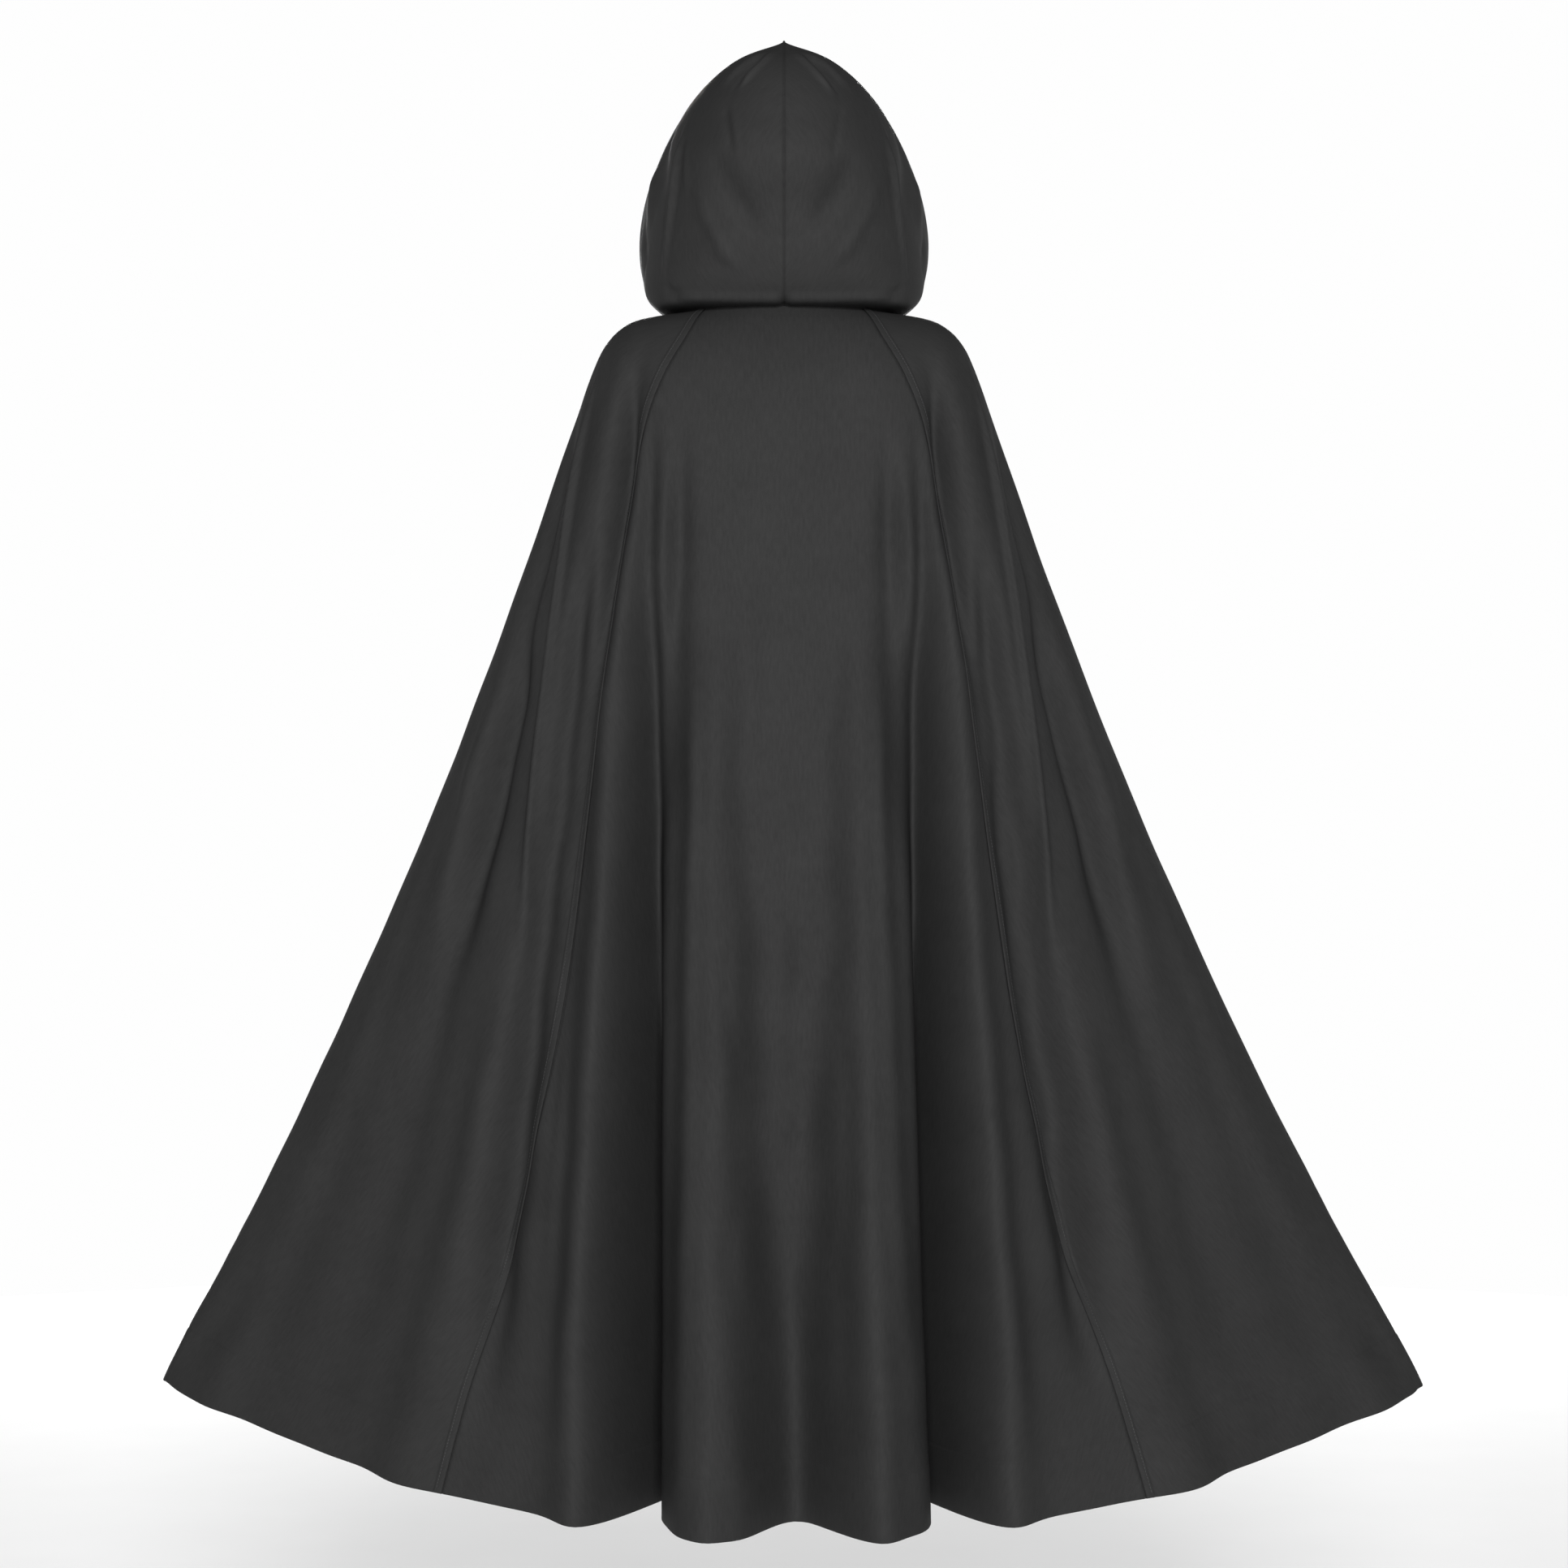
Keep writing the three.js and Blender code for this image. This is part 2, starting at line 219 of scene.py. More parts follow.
@dataclass(frozen=True)
class Crease:
    """A smaller ridge or trough laid over the large folds.

    Its middle follows a parabola through place, middle and place_end, and wanders sideways by wave.
    """

    name: str
    side: Side
    start: float
    stop: float
    place: float
    middle: float
    place_end: float
    width: float
    width_end: float
    rise: float
    rise_end: float
    wave: float

    def rise_at(self, girth: Array, down: Array) -> Array:
        """Height of the crease: a bell curve across, faded at the ends that lie inside the cloth.

        Args:
            girth: distance from the middle of the crease's side.
            down: distance down the cloth.

        Returns:
            How far out the cloth moves.
        """
        run = self.stop - self.start
        t = np.clip((down - self.start) / run, 0.0, 1.0)
        place = self.place * (1 - t) * (1 - 2 * t) + 4 * self.middle * t * (1 - t)
        place = place + self.place_end * t * (2 * t - 1)
        place = place + self.wave * np.sin(down / 61.0 + self.place)
        place = place + 0.6 * self.wave * np.sin(down / 23.0 + 2.0 * self.place)
        fade = smooth((down - self.start) / min(160.0, 0.4 * run))
        if self.stop < LENGTH:
            fade = fade * smooth((self.stop - down) / min(220.0, 0.5 * run))
        u = (girth - place) / mix(self.width, self.width_end, t)
        return bell(u) * fade * mix(self.rise, self.rise_end, t)


BACK = Side.BACK
FRONT = Side.FRONT

RINGS = Table(
    ("down", "half", "side_z", "back_y", "back_z", "front_y", "front_z", "hollow"),
    (
        (0, 122, -1, 72, 0, 78, -38, 0),
        (28, 150, -4, 88, -20, 92, -60, -0.05),
        (51, 172, -8, 99, -40, 102, -80, -0.1),
        (68, 188, -14, 106, -56, 109, -95, -0.15),
        (91, 206, -28, 114, -78, 117, -117, -0.2),
        (120, 222, -52, 121, -106, 124, -145, -0.25),
        (193, 248, -121, 133, -177, 137, -216, -0.25),
        (410, 319, -326, 160, -389, 162, -424, -0.15),
        (704, 425, -599, 205, -675, 200, -705, 0.1),
        (1004, 548, -873, 262, -964, 245, -990, 0.35),
        (1234, 651, -1078, 305, -1183, 285, -1206, 0.55),
        (LENGTH, 762, -1278, 345, -1399, 330, -1420, 0.7),
    ),
)

SEAM = Table(
    ("down", "out"),
    (
        (0, 94),
        (60, 113),
        (120, 141),
        (190, 166),
        (305, 188),
        (550, 215),
        (895, 262),
        (1125, 314),
        (LENGTH, 396),
    ),
)

FOLDS = (
    Fold("centre valley", BACK, 430, LENGTH, 0, -4, 38, 46, -4, -86, 0),
    Fold("left lobe", BACK, 400, LENGTH, 84, 92, 30, 40, 4, 34, 0),
    Fold("right lobe", BACK, 400, LENGTH, -84, -96, 30, 40, 4, 34, 0),
    Fold("left recess", BACK, 330, LENGTH, 150, 173, 22, 34, -6, -198, 24),
    Fold("right recess", BACK, 330, LENGTH, -152, -177, 22, 34, -6, -204, 26),
    Fold("left second lobe", BACK, 230, LENGTH, 186, 238, 22, 38, 6, 34, 0),
    Fold("right second lobe", BACK, 230, LENGTH, -186, -240, 22, 38, 6, 28, 0),
    Fold("left shoulder valley", BACK, 70, 1080, 188, 300, 16, 26, -13, -12, 6),
    Fold("right shoulder valley", BACK, 75, 1040, -190, -302, 16, 26, -12, -12, 6),
    Fold("left shoulder ridge", BACK, 60, 900, 226, 330, 26, 40, 9, 12, 0),
    Fold("right shoulder ridge", BACK, 60, 880, -228, -334, 26, 40, 9, 11, 0),
    Fold("left side valley", BACK, 420, LENGTH, 350, 690, 34, 80, -12, -9, 0),
    Fold("right side valley", BACK, 400, LENGTH, -352, -700, 34, 80, -12, -8, 0),
    Fold("left seam ridge", BACK, 760, LENGTH, 330, 478, 40, 66, 8, 18, 0),
    Fold("right seam ridge", BACK, 740, LENGTH, -334, -482, 40, 66, 8, 24, 0),
    Fold("left front first ridge", FRONT, 260, LENGTH, 110, 196, 40, 62, 4, 34, 0),
    Fold("left front first valley", FRONT, 210, LENGTH, 186, 330, 34, 58, -6, -74, 20),
    Fold("left front second ridge", FRONT, 330, LENGTH, 246, 470, 40, 66, 5, 40, 0),
    Fold("left front second valley", FRONT, 300, LENGTH, 322, 640, 40, 72, -6, -52, 16),
    Fold("left front side ridge", FRONT, 520, LENGTH, 410, 840, 50, 90, 4, 20, 0),
    Fold("right front first ridge", FRONT, 300, LENGTH, -96, -168, 38, 58, 4, 30, 0),
    Fold("right front first valley", FRONT, 240, LENGTH, -168, -296, 34, 56, -6, -80, 22),
    Fold("right front second ridge", FRONT, 300, LENGTH, -234, -430, 40, 64, 5, 42, 0),
    Fold("right front second valley", FRONT, 340, LENGTH, -312, -596, 40, 70, -6, -48, 14),
    Fold("right front side ridge", FRONT, 480, LENGTH, -400, -800, 50, 88, 4, 24, 0),
)


def creases(side: Side, rows: Sequence[tuple]) -> tuple[Crease, ...]:
    """Creases of one side.

    Args:
        side: the side that they are on.
        rows: for each, its name and then the values of Crease from start on.

    Returns:
        The creases, in the order of the rows.
    """
    return tuple(Crease(name, side, *values) for name, *values in rows)


BACK_CREASES = (
    ("left outer line", 110, 900, 299, 321, 336, 6, 8, 9, 9, 0.5),
    ("left outer trough", 160, 940, 352, 408, 468, 25, 36, -11, -17, 3),
    ("left outline ridge", 470, 1080, 430, 478, 536, 24, 34, 9, 10, 3),
    ("left shoulder line", 90, 560, 210, 214, 246, 12, 15, -12, -14, 1),
    ("left valley line", 290, 1400, 252, 313, 370, 18, 24, -20, -28, 2),
    ("left seam fill", 330, 900, 214, 242, 278, 16, 22, 6, 5, 0),
    ("left seam crest", 700, 1100, 262, 286, 318, 14, 18, 2, 5, 2),
    ("left low outside ridge", 860, 1370, 350, 396, 452, 19, 30, 6, 7, 3),
    ("left low outside trough", 880, LENGTH, 396, 452, 534, 24, 44, -6, -8, 4),
    ("left inner crest", 240, 1440, 206, 224, 254, 14, 26, 8, 18, 2),
    ("left faint line", 860, 1300, 266, 276, 296, 6, 8, 3, 3, 1),
    ("left short ridge", 180, 740, 150, 151, 158, 9, 11, 4, 2, 1),
    ("left short trough", 130, 780, 170, 173, 184, 13, 17, -12, -6, 1),
    ("left shallow trough", 150, 800, 127, 128, 140, 14, 18, -12, -7, 1),
    ("left recess root", 300, LENGTH, 158, 181, 197, 15, 20, -4, -62, 1),
    ("left lobe ledge", 540, LENGTH, 140, 151, 159, 15, 21, 4, 80, 1),
    ("left lobe edge", 440, LENGTH, 108, 114, 126, 9, 14, 5, 13, 1),
    ("left lobe crest", 320, LENGTH, 84, 88, 98, 20, 28, 4, 9, 3),
    ("left lobe inner ridge", 640, LENGTH, 62, 60, 57, 15, 18, 4, 13, 2),
    ("left centre trough", 300, 1330, 48, 40, 22, 16, 24, -3, -11, 5),
    ("left centre ripple", 700, 1400, 64, 60, 52, 9, 13, -3, -6, 4),
    ("middle crest", 480, 1180, 4, -6, 2, 14, 20, 4, 8, 5),
    ("right centre trough", 340, 1300, -52, -46, -26, 16, 24, -3, -10, 5),
    ("right centre ripple", 820, 1430, -62, -64, -56, 9, 13, -3, -6, 3),
    ("right lobe crest", 320, LENGTH, -86, -88, -92, 20, 28, 4, 9, 3),
    ("right lobe edge", 440, LENGTH, -110, -118, -138, 9, 14, 5, 11, 1),
    ("right recess root", 304, LENGTH, -158, -181, -197, 15, 20, -4, -62, 1),
    ("right lobe ledge", 544, LENGTH, -140, -151, -159, 15, 21, 4, 80, 1),
    ("right short trough", 150, 780, -125, -128, -137, 14, 18, -12, -7, 1),
    ("right short ridge", 210, 560, -152, -155, -160, 9, 10, 5, 4, 1),
    ("right outer short trough", 140, 760, -170, -174, -186, 13, 17, -11, -6, 1),
    ("right inner crest", 244, 1440, -206, -224, -254, 14, 26, 8, 18, 2),
    ("right shoulder line", 94, 556, -210, -214, -246, 12, 15, -12, -14, 1),
    ("right valley line", 294, 1380, -252, -311, -366, 18, 24, -20, -28, 2),
    ("right seam fill", 330, 900, -214, -242, -278, 16, 22, 6, 5, 0),
    ("right seam crest", 680, 1100, -262, -286, -318, 14, 18, 2, 5, 2),
    ("right seam trough", 520, 1300, -272, -294, -362, 11, 18, -8, -14, 2),
    ("right outer line", 110, 900, -299, -323, -336, 6, 8, 9, 9, 0.5),
    ("right outer trough", 164, 936, -352, -410, -468, 25, 36, -11, -17, 3),
    ("right outline ridge", 474, 1076, -430, -482, -536, 24, 34, 9, 10, 3),
    ("right low outside ridge", 864, 1366, -350, -400, -452, 19, 30, 6, 7, 3),
    ("right low outside trough", 884, LENGTH, -396, -456, -534, 24, 44, -6, -8, 4),
    ("left corner shade", 1180, LENGTH, 690, 820, 1120, 60, 110, -5, -7, 4),
    ("right corner shade", 1184, LENGTH, -694, -824, -1124, 60, 110, -5, -7, 4),
    ("left side ripple", 520, LENGTH, 452, 560, 700, 26, 52, 6, 5, 5),
    ("left side trough", 440, 1440, 396, 476, 600, 22, 44, -9, -7, 4),
    ("left far ripple", 700, LENGTH, 560, 700, 880, 30, 60, 2, 4, 5),
    ("left far trough", 640, LENGTH, 508, 640, 800, 28, 54, -3, -4, 4),
    ("right side ripple", 516, LENGTH, -452, -564, -704, 26, 52, 6, 5, 5),
    ("right side trough", 436, 1440, -396, -480, -604, 22, 44, -9, -7, 4),
    ("right far ripple", 704, LENGTH, -564, -704, -884, 30, 60, 2, 4, 5),
    ("right far trough", 644, LENGTH, -512, -644, -804, 28, 54, -3, -4, 4),
)
FRONT_CREASES = (
    ("left front edge ripple", 420, 1300, 46, 58, 74, 14, 22, -7, -12, 5),
    ("left front crest", 300, LENGTH, 118, 152, 198, 16, 26, 6, 12, 3),
    ("left front line", 240, 1300, 160, 214, 266, 10, 15, -8, -16, 2),
    ("left front ripple", 520, LENGTH, 292, 372, 486, 18, 32, 8, 13, 5),
    ("left front trough", 600, LENGTH, 384, 470, 560, 18, 34, -9, -16, 4),
    ("left front short line", 180, 520, 232, 244, 268, 9, 12, 6, 5, 1),
    ("left front side line", 160, 820, 300, 330, 376, 12, 20, -9, -14, 2),
    ("left front low ripple", 900, LENGTH, 640, 720, 800, 24, 42, 8, 12, 5),
    ("right front edge ripple", 460, 1380, -52, -60, -80, 14, 24, -7, -12, 5),
    ("right front crest", 290, LENGTH, -100, -136, -172, 16, 26, 6, 12, 3),
    ("right front line", 250, 1240, -140, -186, -240, 10, 15, -8, -16, 2),
    ("right front ripple", 540, LENGTH, -260, -346, -440, 18, 32, 8, 13, 5),
    ("right front trough", 560, LENGTH, -362, -450, -532, 18, 34, -9, -16, 4),
    ("right front short line", 200, 560, -222, -240, -262, 9, 12, 6, 5, 1),
    ("right front side line", 170, 800, -304, -332, -370, 12, 20, -9, -13, 2),
    ("right front low ripple", 880, LENGTH, -620, -700, -790, 24, 42, 8, 12, 5),
)
CREASES = creases(BACK, BACK_CREASES) + creases(FRONT, FRONT_CREASES)


@dataclass(frozen=True)
class BodyForm:
    """The worn form of the body: rings with folds and creases on them."""

    folds: tuple[Fold, ...] = FOLDS
    creases: tuple[Crease, ...] = CREASES
    unevenness: float = 0.7

    def ring(self, angle: Array, down: Array) -> Array:
        """Smooth ring with no folds.

        x is the half width times the sine of the angle from the middle of the back. y is the depth
        times the cosine, drawn in at the sides by the hollow, and z goes from the height at the
        middle to the height at the side with the square of the sine.

        Args:
            angle: radians from the middle of the back, towards the wearer's left.
            down: distance down the cloth.

        Returns:
            Points, with the coordinates on the last axis.
        """
        back = np.cos(angle) > 0
        s, c = np.sin(angle), np.cos(angle)
        depth = np.where(back, RINGS.read("back_y", down), RINGS.read("front_y", down))
        drop = np.where(back, RINGS.read("back_z", down), RINGS.read("front_z", down))
        x = RINGS.read("half", down) * s
        y = depth * c * (1 - RINGS.read("hollow", down) * s * s)
        z = drop * c * c + RINGS.read("side_z", down) * s * s
        return np.stack(np.broadcast_arrays(x, y, z), axis=-1)

    def shift(self, angle: Array, down: Array) -> tuple[Array, Array]:
        """Sum of all the folds and creases, and a slight unevenness of three crossed waves.

        Args:
            angle: radians from the middle of the back.
            down: distance down the cloth.

        Returns:
            How far out the cloth moves, and how far along its girth.
        """
        half = RINGS.read("half", down)
        girth = {
            Side.BACK: half * np.arctan2(np.sin(angle), np.cos(angle)),
            Side.FRONT: half * np.arctan2(np.sin(angle), -np.cos(angle)),
        }
        out = np.zeros(np.broadcast(angle, down).shape)
        along = np.zeros_like(out)
        for fold in self.folds:
            rise, draw = fold.shift(girth[fold.side], down)
            out += rise
            along += draw
        for crease in self.creases:
            out += crease.rise_at(girth[crease.side], down)
        g = girth[Side.BACK]
        waves = np.sin(g / 19.0 + down / 57.0) + np.sin(g / 27.0 - down / 83.0 + 1.3)
        waves = waves + np.sin(down / 41.0 + 2.0 * np.sin(g / 45.0))
        return out + self.unevenness * waves / 3.0 * smooth(down / 120.0), along

    def cloth(self, angle: Array, down: Array, raised: Array | float = 0.0) -> Array:
        """Outer face of the cloth, before the making of its edges.

        The ring's point moves out along the ring's level normal and along its tangent by the folds.
        Then each side drops and the whole sways, both with the square of the way down.

        Args:
            angle: radians from the middle of the back.
            down: distance down the cloth.
            raised: how much further out the face stands.

        Returns:
            Points, with the coordinates on the last axis.
        """
        tangent = self.ring(angle + RING_STEP, down) - self.ring(angle - RING_STEP, down)
        tangent[..., 2] = 0.0
        tangent = unit(tangent)
        outward = np.stack([-tangent[..., 1], tangent[..., 0], 0 * tangent[..., 0]], axis=-1)
        out, along = self.shift(angle, down)
        point = self.ring(angle, down)
        point = point + outward * (out + raised)[..., None] + tangent * along[..., None]
        low = (down / LENGTH) ** 2
        x = point[..., 0]
        drop = np.where(x < 0, RIGHT_DROP, LEFT_DROP)
        point[..., 2] -= drop * low * smooth(np.abs(x) / DROP_REACH)
        point[..., 0] += SWAY * low
        return point

    def seam_angle(self, down: Array) -> Array:
        """Angle of the back seam at a height: its sine is the seam's distance over half the width."""
        return np.arcsin(SEAM.read("out", down) / RINGS.read("half", down))


@dataclass(frozen=True)
class Shell:
    """A closed wall of cloth over a grid of points, with rows on the first axis."""

    outer: Array
    normal: Array
    thick: Array
    edge: Array

    def faces_of_points(self) -> tuple[Array, Array]:
        """Outer and inner face.

        The wall hangs inwards from the outer face. Near an edge its thickness follows the edge
        share, so that both faces meet the middle of the wall in a rounded edge.

        Returns:
            The outer and the inner grid.
        """
        half = (0.5 * self.thick)[..., None] * self.normal
        middle = self.outer - half
        return middle + half * self.edge[..., None], middle - half * self.edge[..., None]

    def arrays(self) -> tuple[Array, Array]:
        """Vertices and four-sided faces: outer face, inner face turned round, and four edges.

        Returns:
            Vertices in millimetres, and the vertex numbers of each face.
        """
        outer, inner = self.faces_of_points()
        rows, columns = outer.shape[:2]
        number = np.arange(rows * columns).reshape(rows, columns)
        back = number + rows * columns
        top = np.stack([number[:-1, :-1], number[:-1, 1:], number[1:, 1:], number[1:, :-1]], -1)
        under = np.stack([back[:-1, :-1], back[1:, :-1], back[1:, 1:], back[:-1, 1:]], -1)
        rims = [
            self.rim(number[0], back[0]),
            self.rim(number[-1, ::-1], back[-1, ::-1]),
            self.rim(number[::-1, 0], back[::-1, 0]),
            self.rim(number[:, -1], back[:, -1]),
        ]
        faces = np.concatenate([top.reshape(-1, 4), under.reshape(-1, 4), *rims])
        return np.concatenate([outer.reshape(-1, 3), inner.reshape(-1, 3)]), faces

    @staticmethod
    def rim(out: Array, back: Array) -> Array:
        """Faces that join one border of the outer grid to the same border of the inner grid."""
        return np.stack([out[:-1], back[:-1], back[1:], out[1:]], -1)


def make_object(name: str, vertices: Array, faces: Array, uv: Array | None = None) -> bpy.types.Object:
    """Puts arrays into a mesh object at the origin.

    Args:
        name: the piece's name.
        vertices: points in millimetres.
        faces: vertex numbers, a row for each face.
        uv: a place on the cloth, in metres, for each vertex.

    Returns:
        The new object, smooth shaded.
    """
    mesh = bpy.data.meshes.new(name)
    mesh.from_pydata((vertices * MM).tolist(), [], faces.tolist())
    if uv is not None:
        layer = mesh.uv_layers.new(name="UVMap")
        layer.data.foreach_set("uv", uv[faces.ravel()].astype(np.float32).ravel())
    mesh.polygons.foreach_set("use_smooth", np.ones(len(mesh.polygons), bool))
    mesh.update()
    made = bpy.data.objects.new(name, mesh)
    bpy.context.scene.collection.objects.link(made)
    return made


def report(piece: bpy.types.Object) -> None:
    """Logs a piece's triangles and its area in square metres."""
    mesh = piece.data
    mesh.calc_loop_triangles()
    area = sum(face.area for face in mesh.polygons)
    LOG.info("%s: %d triangles, %.3f m2 of surface", piece.name, len(mesh.loop_triangles), area)


def edge_share(distance: Array, thick: Array) -> Array:
    """Rounding of a folded edge: the height of a half circle of the wall's thickness."""
    t = np.clip(2.0 * distance / thick, 0.0, 1.0)
    return np.maximum(np.sqrt(1.0 - (1.0 - t) ** 2), LEAST_EDGE)


def stitch_dip(distance: Array, line: float) -> Array:
    """Trough that a row of stitches pulls into the cloth along a line beside an edge."""
    return -STITCH_DIP * bell((distance - line) / STITCH_DIP_WIDTH)


@dataclass(frozen=True)
class EdgeMake:
    """Sizes of one kind of upright edge."""

    marks: tuple[float, ...]
    rounded: bool
    profile: Callable[[Array], Array]


def under_profile(distance: Array) -> Array:
    """Cloth beside its end under the band: it dips over the last few millimetres."""
    return -UNDERLAP_DIP * (1 - smooth((distance - UNDERLAP) / UNDERLAP_RUN))


def band_profile(distance: Array) -> Array:
    """Seam band: raised by the turned cloth inside it, with its stitches' trough near its far side."""
    step = BAND_RISE * (1 - smooth((distance - BAND_WIDTH) / BAND_RUN))
    return step + stitch_dip(distance, BAND_STITCH)


def front_profile(distance: Array) -> Array:
    """Front edge: slightly proud up to its row of stitches."""
    step = EDGE_RISE * (1 - smooth((distance - EDGE_STITCH - 1) / 3))
    return step + stitch_dip(distance, EDGE_STITCH)


EDGES = {
    Edge.UNDER: EdgeMake((0, 1.5, 3, 3.6, 4.4, 5.4, 6.6, 9), False, under_profile),
    Edge.BAND: EdgeMake(
        (0, 0.2, 0.5, 1.1, 2, 3.6, 5.4, 6.4, 7.2, 8, 8.6, 9.2, 9.8, 10.5, 12, 15, 20), True, band_profile
    ),
    Edge.FRONT: EdgeMake((0, 0.2, 0.5, 1.1, 2, 4, 6.4, 7.3, 8, 8.8, 10, 12, 15), True, front_profile),
}

HEM_MARKS = (0, 0.25, 0.7, 1.4, 2.4, 4.4, 8)
NECK_MARKS = (0, 0.25, 0.6, 1.2, 2.2, 4.4, 8)
TURN_MARKS = (-8, -4, -2, -1, 0, 1, 2, 3, 4.5, 8)


@dataclass(frozen=True)
class BodyPanel:
    """One body piece, from the neck seam to the hem."""

    name: str
    node: str
    first: Edge
    last: Edge
    edges: Callable[[BodyForm, Array], tuple[Array, Array]]
    columns: int
    rows: int
    flat: tuple[float, float]
    area: float
    laps: bool = False
    form: BodyForm = field(default_factory=BodyForm)
    samples: int = 900

    def downs(self) -> Array:
        """Heights of the rows, even but for crowding at the neck, the hem's turn and the hem."""
        turn = LENGTH - HEM_DEPTH
        fixed = np.concatenate([NECK_MARKS, turn + np.array(TURN_MARKS), LENGTH - np.array(HEM_MARKS)])
        spare = self.rows - len(fixed)
        even = np.linspace(NECK_MARKS[-1], LENGTH - HEM_MARKS[-1], spare + 2)[1:-1]
        inside = np.abs(even - turn) < TURN_MARKS[-1]
        return np.unique(np.concatenate([fixed, even[~inside]]))

    def lift(self, angle: Array, down: Array) -> Array:
        """How far the right front stands out where it laps over the left one."""
        if not self.laps:
            return np.zeros(np.broadcast(angle, down).shape)
        girth = RINGS.read("half", down) * (angle + math.pi)
        return LAP_RISE * smooth(LAP_RUN - girth / (2 * LAP))

    def face(self, angle: Array, down: Array) -> Array:
        """Outer face of the cloth with this panel's own lift."""
        return self.form.cloth(angle, down, self.lift(angle, down))

    def normal(self, angle: Array, down: Array) -> Array:
        """Outward direction: the cross product of small steps round the body and down it."""
        across = self.face(angle + RING_STEP, down) - self.face(angle - RING_STEP, down)
        lower = np.minimum(down + DOWN_STEP, LENGTH)
        upper = np.maximum(down - DOWN_STEP, 0.0)
        return unit(np.cross(across, self.face(angle, lower) - self.face(angle, upper)))

    def columns_at(self, down: Array) -> tuple[Array, Array, Array]:
        """Places of the columns in each row.

        The length of the folded cloth is measured along a fine row. The columns stand at fixed
        distances beside both edges and at even distances between, found on that length.

        Args:
            down: heights of the rows, as a column.

        Returns:
            Angles, and the distances from the first and from the last edge.
        """
        start, stop = self.edges(self.form, down)
        fine = mix(start, stop, np.linspace(0, 1, self.samples)[None, :])
        steps = np.linalg.norm(np.diff(self.face(fine, down), axis=1), axis=-1)
        length = np.concatenate([np.zeros_like(down), np.cumsum(steps, axis=1)], axis=1)
        total = length[:, -1:]
        near = np.array(EDGES[self.first].marks)[None, :] + 0 * total
        far = total - np.array(EDGES[self.last].marks)[None, ::-1]
        spare = self.columns - near.shape[1] - far.shape[1]
        share = np.linspace(0, 1, spare + 2)[None, 1:-1]
        even = mix(near[:, -1:], far[:, :1], share)
        along = np.concatenate([near, even, far], axis=1)
        angle = np.stack([np.interp(a, s, f) for a, s, f in zip(along, length, fine)])
        return angle, along, total - along

    def making(self, first: Array, last: Array, down: Array) -> tuple[Array, Array, Array]:
        """Relief, thickness and edge rounding that the making gives the cloth.

        Both upright edges add their own profile. The hem's turned-up ply thickens the wall inwards
        and shows outside as a slight step with a pressed line above it.

        Args:
            first: distance from the first edge.
            last: distance from the last edge.
            down: distance down the cloth.

        Returns:
            How far the outer face stands out, the wall's thickness, and the edge share.
        """
        made_first, made_last = EDGES[self.first], EDGES[self.last]
        relief = made_first.profile(first) + made_last.profile(last)
        up = LENGTH - down
        turn = smooth((HEM_DEPTH - up) / HEM_RUN)
        relief = relief + HEM_STEP * turn - HEM_LINE * bell((up - HEM_DEPTH) / 1.6)
        thick = WALL + HEM_PLY * smooth((HEM_DEPTH - up) / 1.5) + 0 * first
        edge = edge_share(np.minimum(up, down) + 0 * first, thick)
        if made_first.rounded:
            edge = np.minimum(edge, edge_share(first, thick))
        if made_last.rounded:
            edge = np.minimum(edge, edge_share(last, thick))
        return relief, thick, edge

    def shell(self) -> tuple[Shell, Array]:
        """The panel's wall, and the place of each point on the cloth in metres.

        Returns:
            The shell, and the grid of cloth places: along the row from its middle, and down.
        """
        down = self.downs()[:, None]
        angle, first, last = self.columns_at(down)
        relief, thick, edge = self.making(first, last, down)
        normal = self.normal(angle, down)
        outer = self.face(angle, down) + normal * relief[..., None]
        place = np.stack([0.5 * (first - last), down + 0 * first], axis=-1) * MM
        return Shell(outer, normal, thick, edge), place

    def build(self) -> bpy.types.Object:
        """Makes the panel's mesh object."""
        shell, place = self.shell()
        vertices, faces = shell.arrays()
        uv = np.concatenate([place.reshape(-1, 2)] * 2)
        return make_object(self.name, vertices, faces, uv)

    def line(self, edge: Edge, distance: float, down: Array) -> tuple[Array, Array]:
        """A line on the panel's face at a fixed distance beside one edge.

        Args:
            edge: the edge that the line follows.
            distance: from the edge, along the girth.
            down: heights of the line's points.

        Returns:
            Points on the finished face, and the outward directions there.
        """
        start, stop = self.edges(self.form, down)
        from_first = edge is self.first
        angle = start if from_first else stop
        gauge = self.face(angle + RING_STEP, down) - self.face(angle - RING_STEP, down)
        gauge = np.linalg.norm(gauge, axis=-1) / (2 * RING_STEP)
        angle = angle + (distance if from_first else -distance) / gauge
        far = np.full_like(down, 500.0)
        near = np.full_like(down, distance)
        first, last = (near, far) if from_first else (far, near)
        relief = self.making(first, last, down)[0]
        normal = self.normal(angle, down)
        return self.face(angle, down) + normal * relief[..., None], normal

    def dress(self, finish: bpy.types.Material, over: Sequence[bpy.types.Object]) -> bpy.types.Object:
        """Builds the panel, gives it its finish and its body, and hides the frame's part.

        Args:
            finish: the wool.
            over: rows of stitches and other pieces that belong to the panel; not used.

        Returns:
            The finished piece.
        """
        piece = self.build()
        piece.data.materials.append(finish)
        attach(piece, "root")
        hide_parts(self.node)
        report(piece)
        return piece


def back_edges(form: BodyForm, down: Array) -> tuple[Array, Array]:
    """Upright edges of the back, a few millimetres past both seams."""
    seam = form.seam_angle(down)
    under = UNDERLAP / (RINGS.read("half", down) * np.cos(seam))
    return -seam - under, seam + under


def left_edges(form: BodyForm, down: Array) -> tuple[Array, Array]:
    """Upright edges of the left front: the back seam, and past the middle of the front."""
    return form.seam_angle(down), math.pi + LAP / RINGS.read("half", down)


